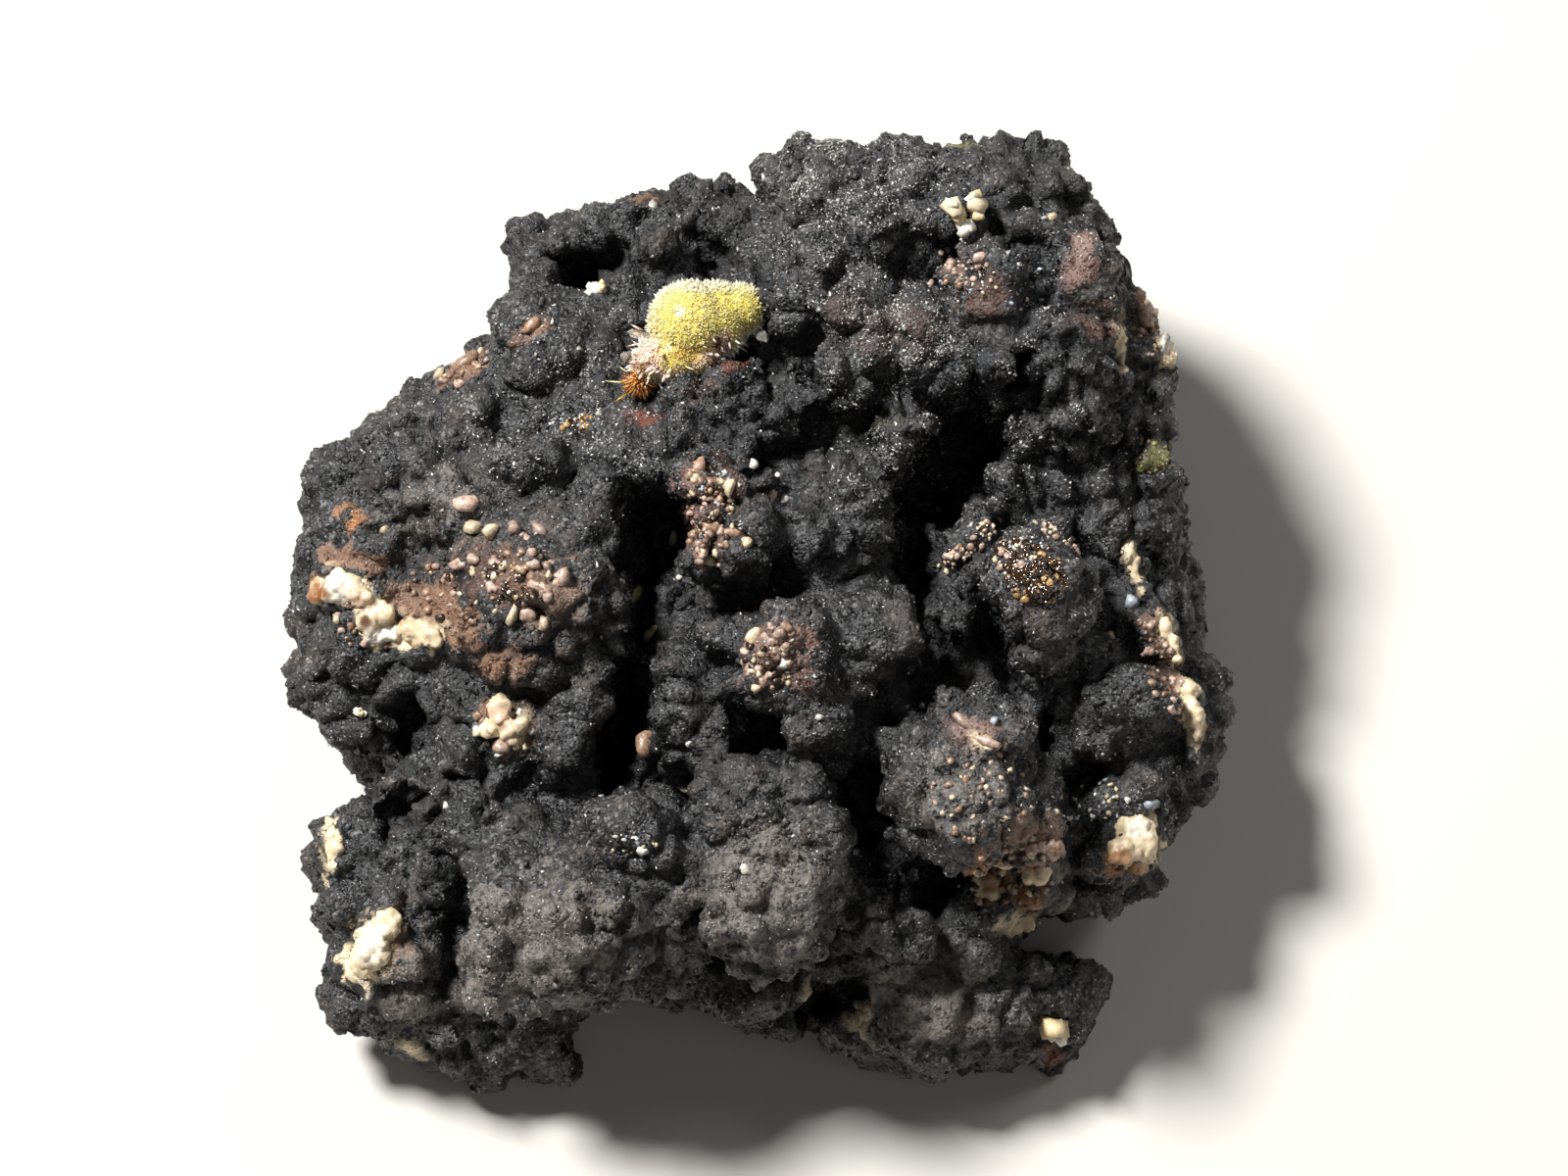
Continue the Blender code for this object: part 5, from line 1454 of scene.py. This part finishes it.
def clear_mineral():
    made, tree, shader = new_material("clear_arsenate")
    where = add_node(tree, "ShaderNodeTexCoord").outputs["Object"]
    veil = add_node(
        tree, "ShaderNodeTexNoise", None,
        {"Scale": 1 / (VEIL_SIZE * MM), "Detail": 3.0, "Roughness": 0.6}, Vector=where,
    )
    rough = add_node(
        tree, "ShaderNodeMapRange", None, {"To Min": 0.02, "To Max": 0.22},
        Value=veil.outputs["Fac"],
    )
    tree.links.new(rough.outputs["Result"], shader.inputs["Roughness"])
    bump = add_node(
        tree, "ShaderNodeBump", None, {"Strength": 0.3, "Distance": VEIL_DEPTH * MM},
        Height=veil.outputs["Fac"],
    )
    tree.links.new(bump.outputs["Normal"], shader.inputs["Normal"])
    shader.inputs["Base Color"].default_value = linear("#f1ede4")
    shader.inputs["Transmission Weight"].default_value = CLEARNESS
    shader.inputs["IOR"].default_value = 1.65
    return made


clear = clear_mineral()
for name in ("clear_crystal_right", "clear_crystal_left", "clear_crystal_below"):
    bpy.data.objects[name].material_slots[0].material = clear


# The white chips: four crumbs of broken pale crystal that stick to the crust.
# Name, u, v, and the lobes that each is broken into, as du, dv, half size.
CHIPS = (
    ("white_chip_top", 4.32, 7.98, ((-0.20, 0.20, 0.27), (0.20, 0.18, 0.28), (0.02, -0.22, 0.26))),
    ("white_chip_left", -3.22, 6.44, ((-0.08, 0.0, 0.20), (0.10, 0.02, 0.19))),
    ("white_chip_foot", 6.12, -8.52, ((-0.02, 0.0, 0.36), (0.16, -0.10, 0.20))),
    ("white_chip_hollow", -8.06, -2.16, ((0.0, 0.0, 0.16),)),
)
CHIP_BLOCKS = 5
CHIP_CORNERS = 10
CHIP_CRUMB = 0.6
CHIP_NUDGE = 0.8
CHIP_LIFT = 0.4
CHIP_TINTS = ("#e6dac2", "#dccbaa", "#eee6d6", "#cfb98f")

# Chalky crystal: broken faces, milky inside, so its shadows are soft and its glints dull.
chalky_crystal = tinted_mineral(
    "chalky_crystal", roughness=0.42, ior=1.55, grain=0.06, mottling=0.22, bump_height=0.02,
    glow=0.35, glow_reach=0.15,
)
tints = np.array([linear(colour) for colour in CHIP_TINTS])
for name, u, v, lobes in CHIPS:
    spots, ups, sizes = [], [], []
    for du, dv, half in lobes:
        seat, out = sight(u + du, v + dv)
        for block in range(CHIP_BLOCKS):
            smaller = 1.0 if block == 0 else CHIP_CRUMB
            nudge = Vector(chance.normal(size=3)) * half * (1 - smaller) * CHIP_NUDGE
            spots.append(list(seat + out * half * CHIP_LIFT + nudge))
            ups.append(list(out))
            sizes.append(chance.uniform(0.85, 1.2, 3) * half * smaller)
    spots, ups, sizes = (np.array(rows) for rows in (spots, ups, sizes))
    shape = block_shape(CHIP_CORNERS, chance)
    piece = copies(name + "_crystals", shape, spots, ups, sizes, chance, lean=0.8)
    give(piece, len(spots), tint=tints[chance.integers(0, len(tints), len(spots))])
    put_in_world(piece, chalky_crystal)
    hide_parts(name)


# The floor is a plain pale sheet, and the light is soft and comes from the upper left.
# Sizes in metres, but the width of the view and of the sensor, which are in millimetres.
FLOOR_SIZE = 0.6
FLOOR_COLOUR = "#bdbab4"
FIELD_WIDTH = 32.0
SENSOR = 36.0

floor_shape = bmesh.new()
bmesh.ops.create_grid(floor_shape, x_segments=1, y_segments=1, size=FLOOR_SIZE / 2)
floor_mesh = bpy.data.meshes.new("floor")
floor_shape.to_mesh(floor_mesh)
floor_shape.free()
floor = bpy.data.objects.new("floor", floor_mesh)
bpy.context.scene.collection.objects.link(floor)
pale, _, pale_shader = new_material("pale_floor")
pale_shader.inputs["Base Color"].default_value = linear(FLOOR_COLOUR)
pale_shader.inputs["Roughness"].default_value = 0.9
floor_mesh.materials.append(pale)


# Name, azimuth clockwise from the top of the picture, elevation, distance, size and watts.
LIGHTS = (
    ("key_light", -58, 56, 0.30, 0.07, 2.2),
    ("side_light", 60, 42, 0.30, 0.10, 0.15),
    ("fill_light", 150, 50, 0.35, 0.30, 0.12),
)
LIGHTS_AIM = Vector((0, 0, 0.005))
SURROUND_COLOUR = "#e8e6e2"
SURROUND_STRENGTH = 0.07


def area_light(name, azimuth, elevation, distance, size, power):
    light = bpy.data.lights.new(name, "AREA")
    light.shape = "DISK"
    light.size = size
    light.energy = power
    made = bpy.data.objects.new(name, light)
    bpy.context.scene.collection.objects.link(made)
    azimuth, elevation = math.radians(azimuth), math.radians(elevation)
    way = Vector((
        math.cos(elevation) * math.sin(azimuth), math.cos(elevation) * math.cos(azimuth),
        math.sin(elevation),
    ))
    made.location = LIGHTS_AIM + way * distance
    made.rotation_euler = way.to_track_quat("Z", "Y").to_euler()


for light in LIGHTS:
    area_light(*light)

world = bpy.data.worlds.new("soft_surround")
world.use_nodes = True
surround = world.node_tree.nodes["Background"]
surround.inputs["Color"].default_value = linear(SURROUND_COLOUR)
surround.inputs["Strength"].default_value = SURROUND_STRENGTH
bpy.context.scene.world = world

camera_data = bpy.data.cameras.new("camera")
camera_data.sensor_width = SENSOR
camera_data.lens = SENSOR * EYE.z / FIELD_WIDTH
camera_data.clip_start = 0.01
camera_data.clip_end = 10
camera = bpy.data.objects.new("camera", camera_data)
bpy.context.scene.collection.objects.link(camera)
camera.location = face_to_world @ EYE
camera.rotation_euler = (FACE_TIP, 0, 0)
bpy.context.scene.camera = camera
bpy.context.scene.view_settings.view_transform = "Standard"
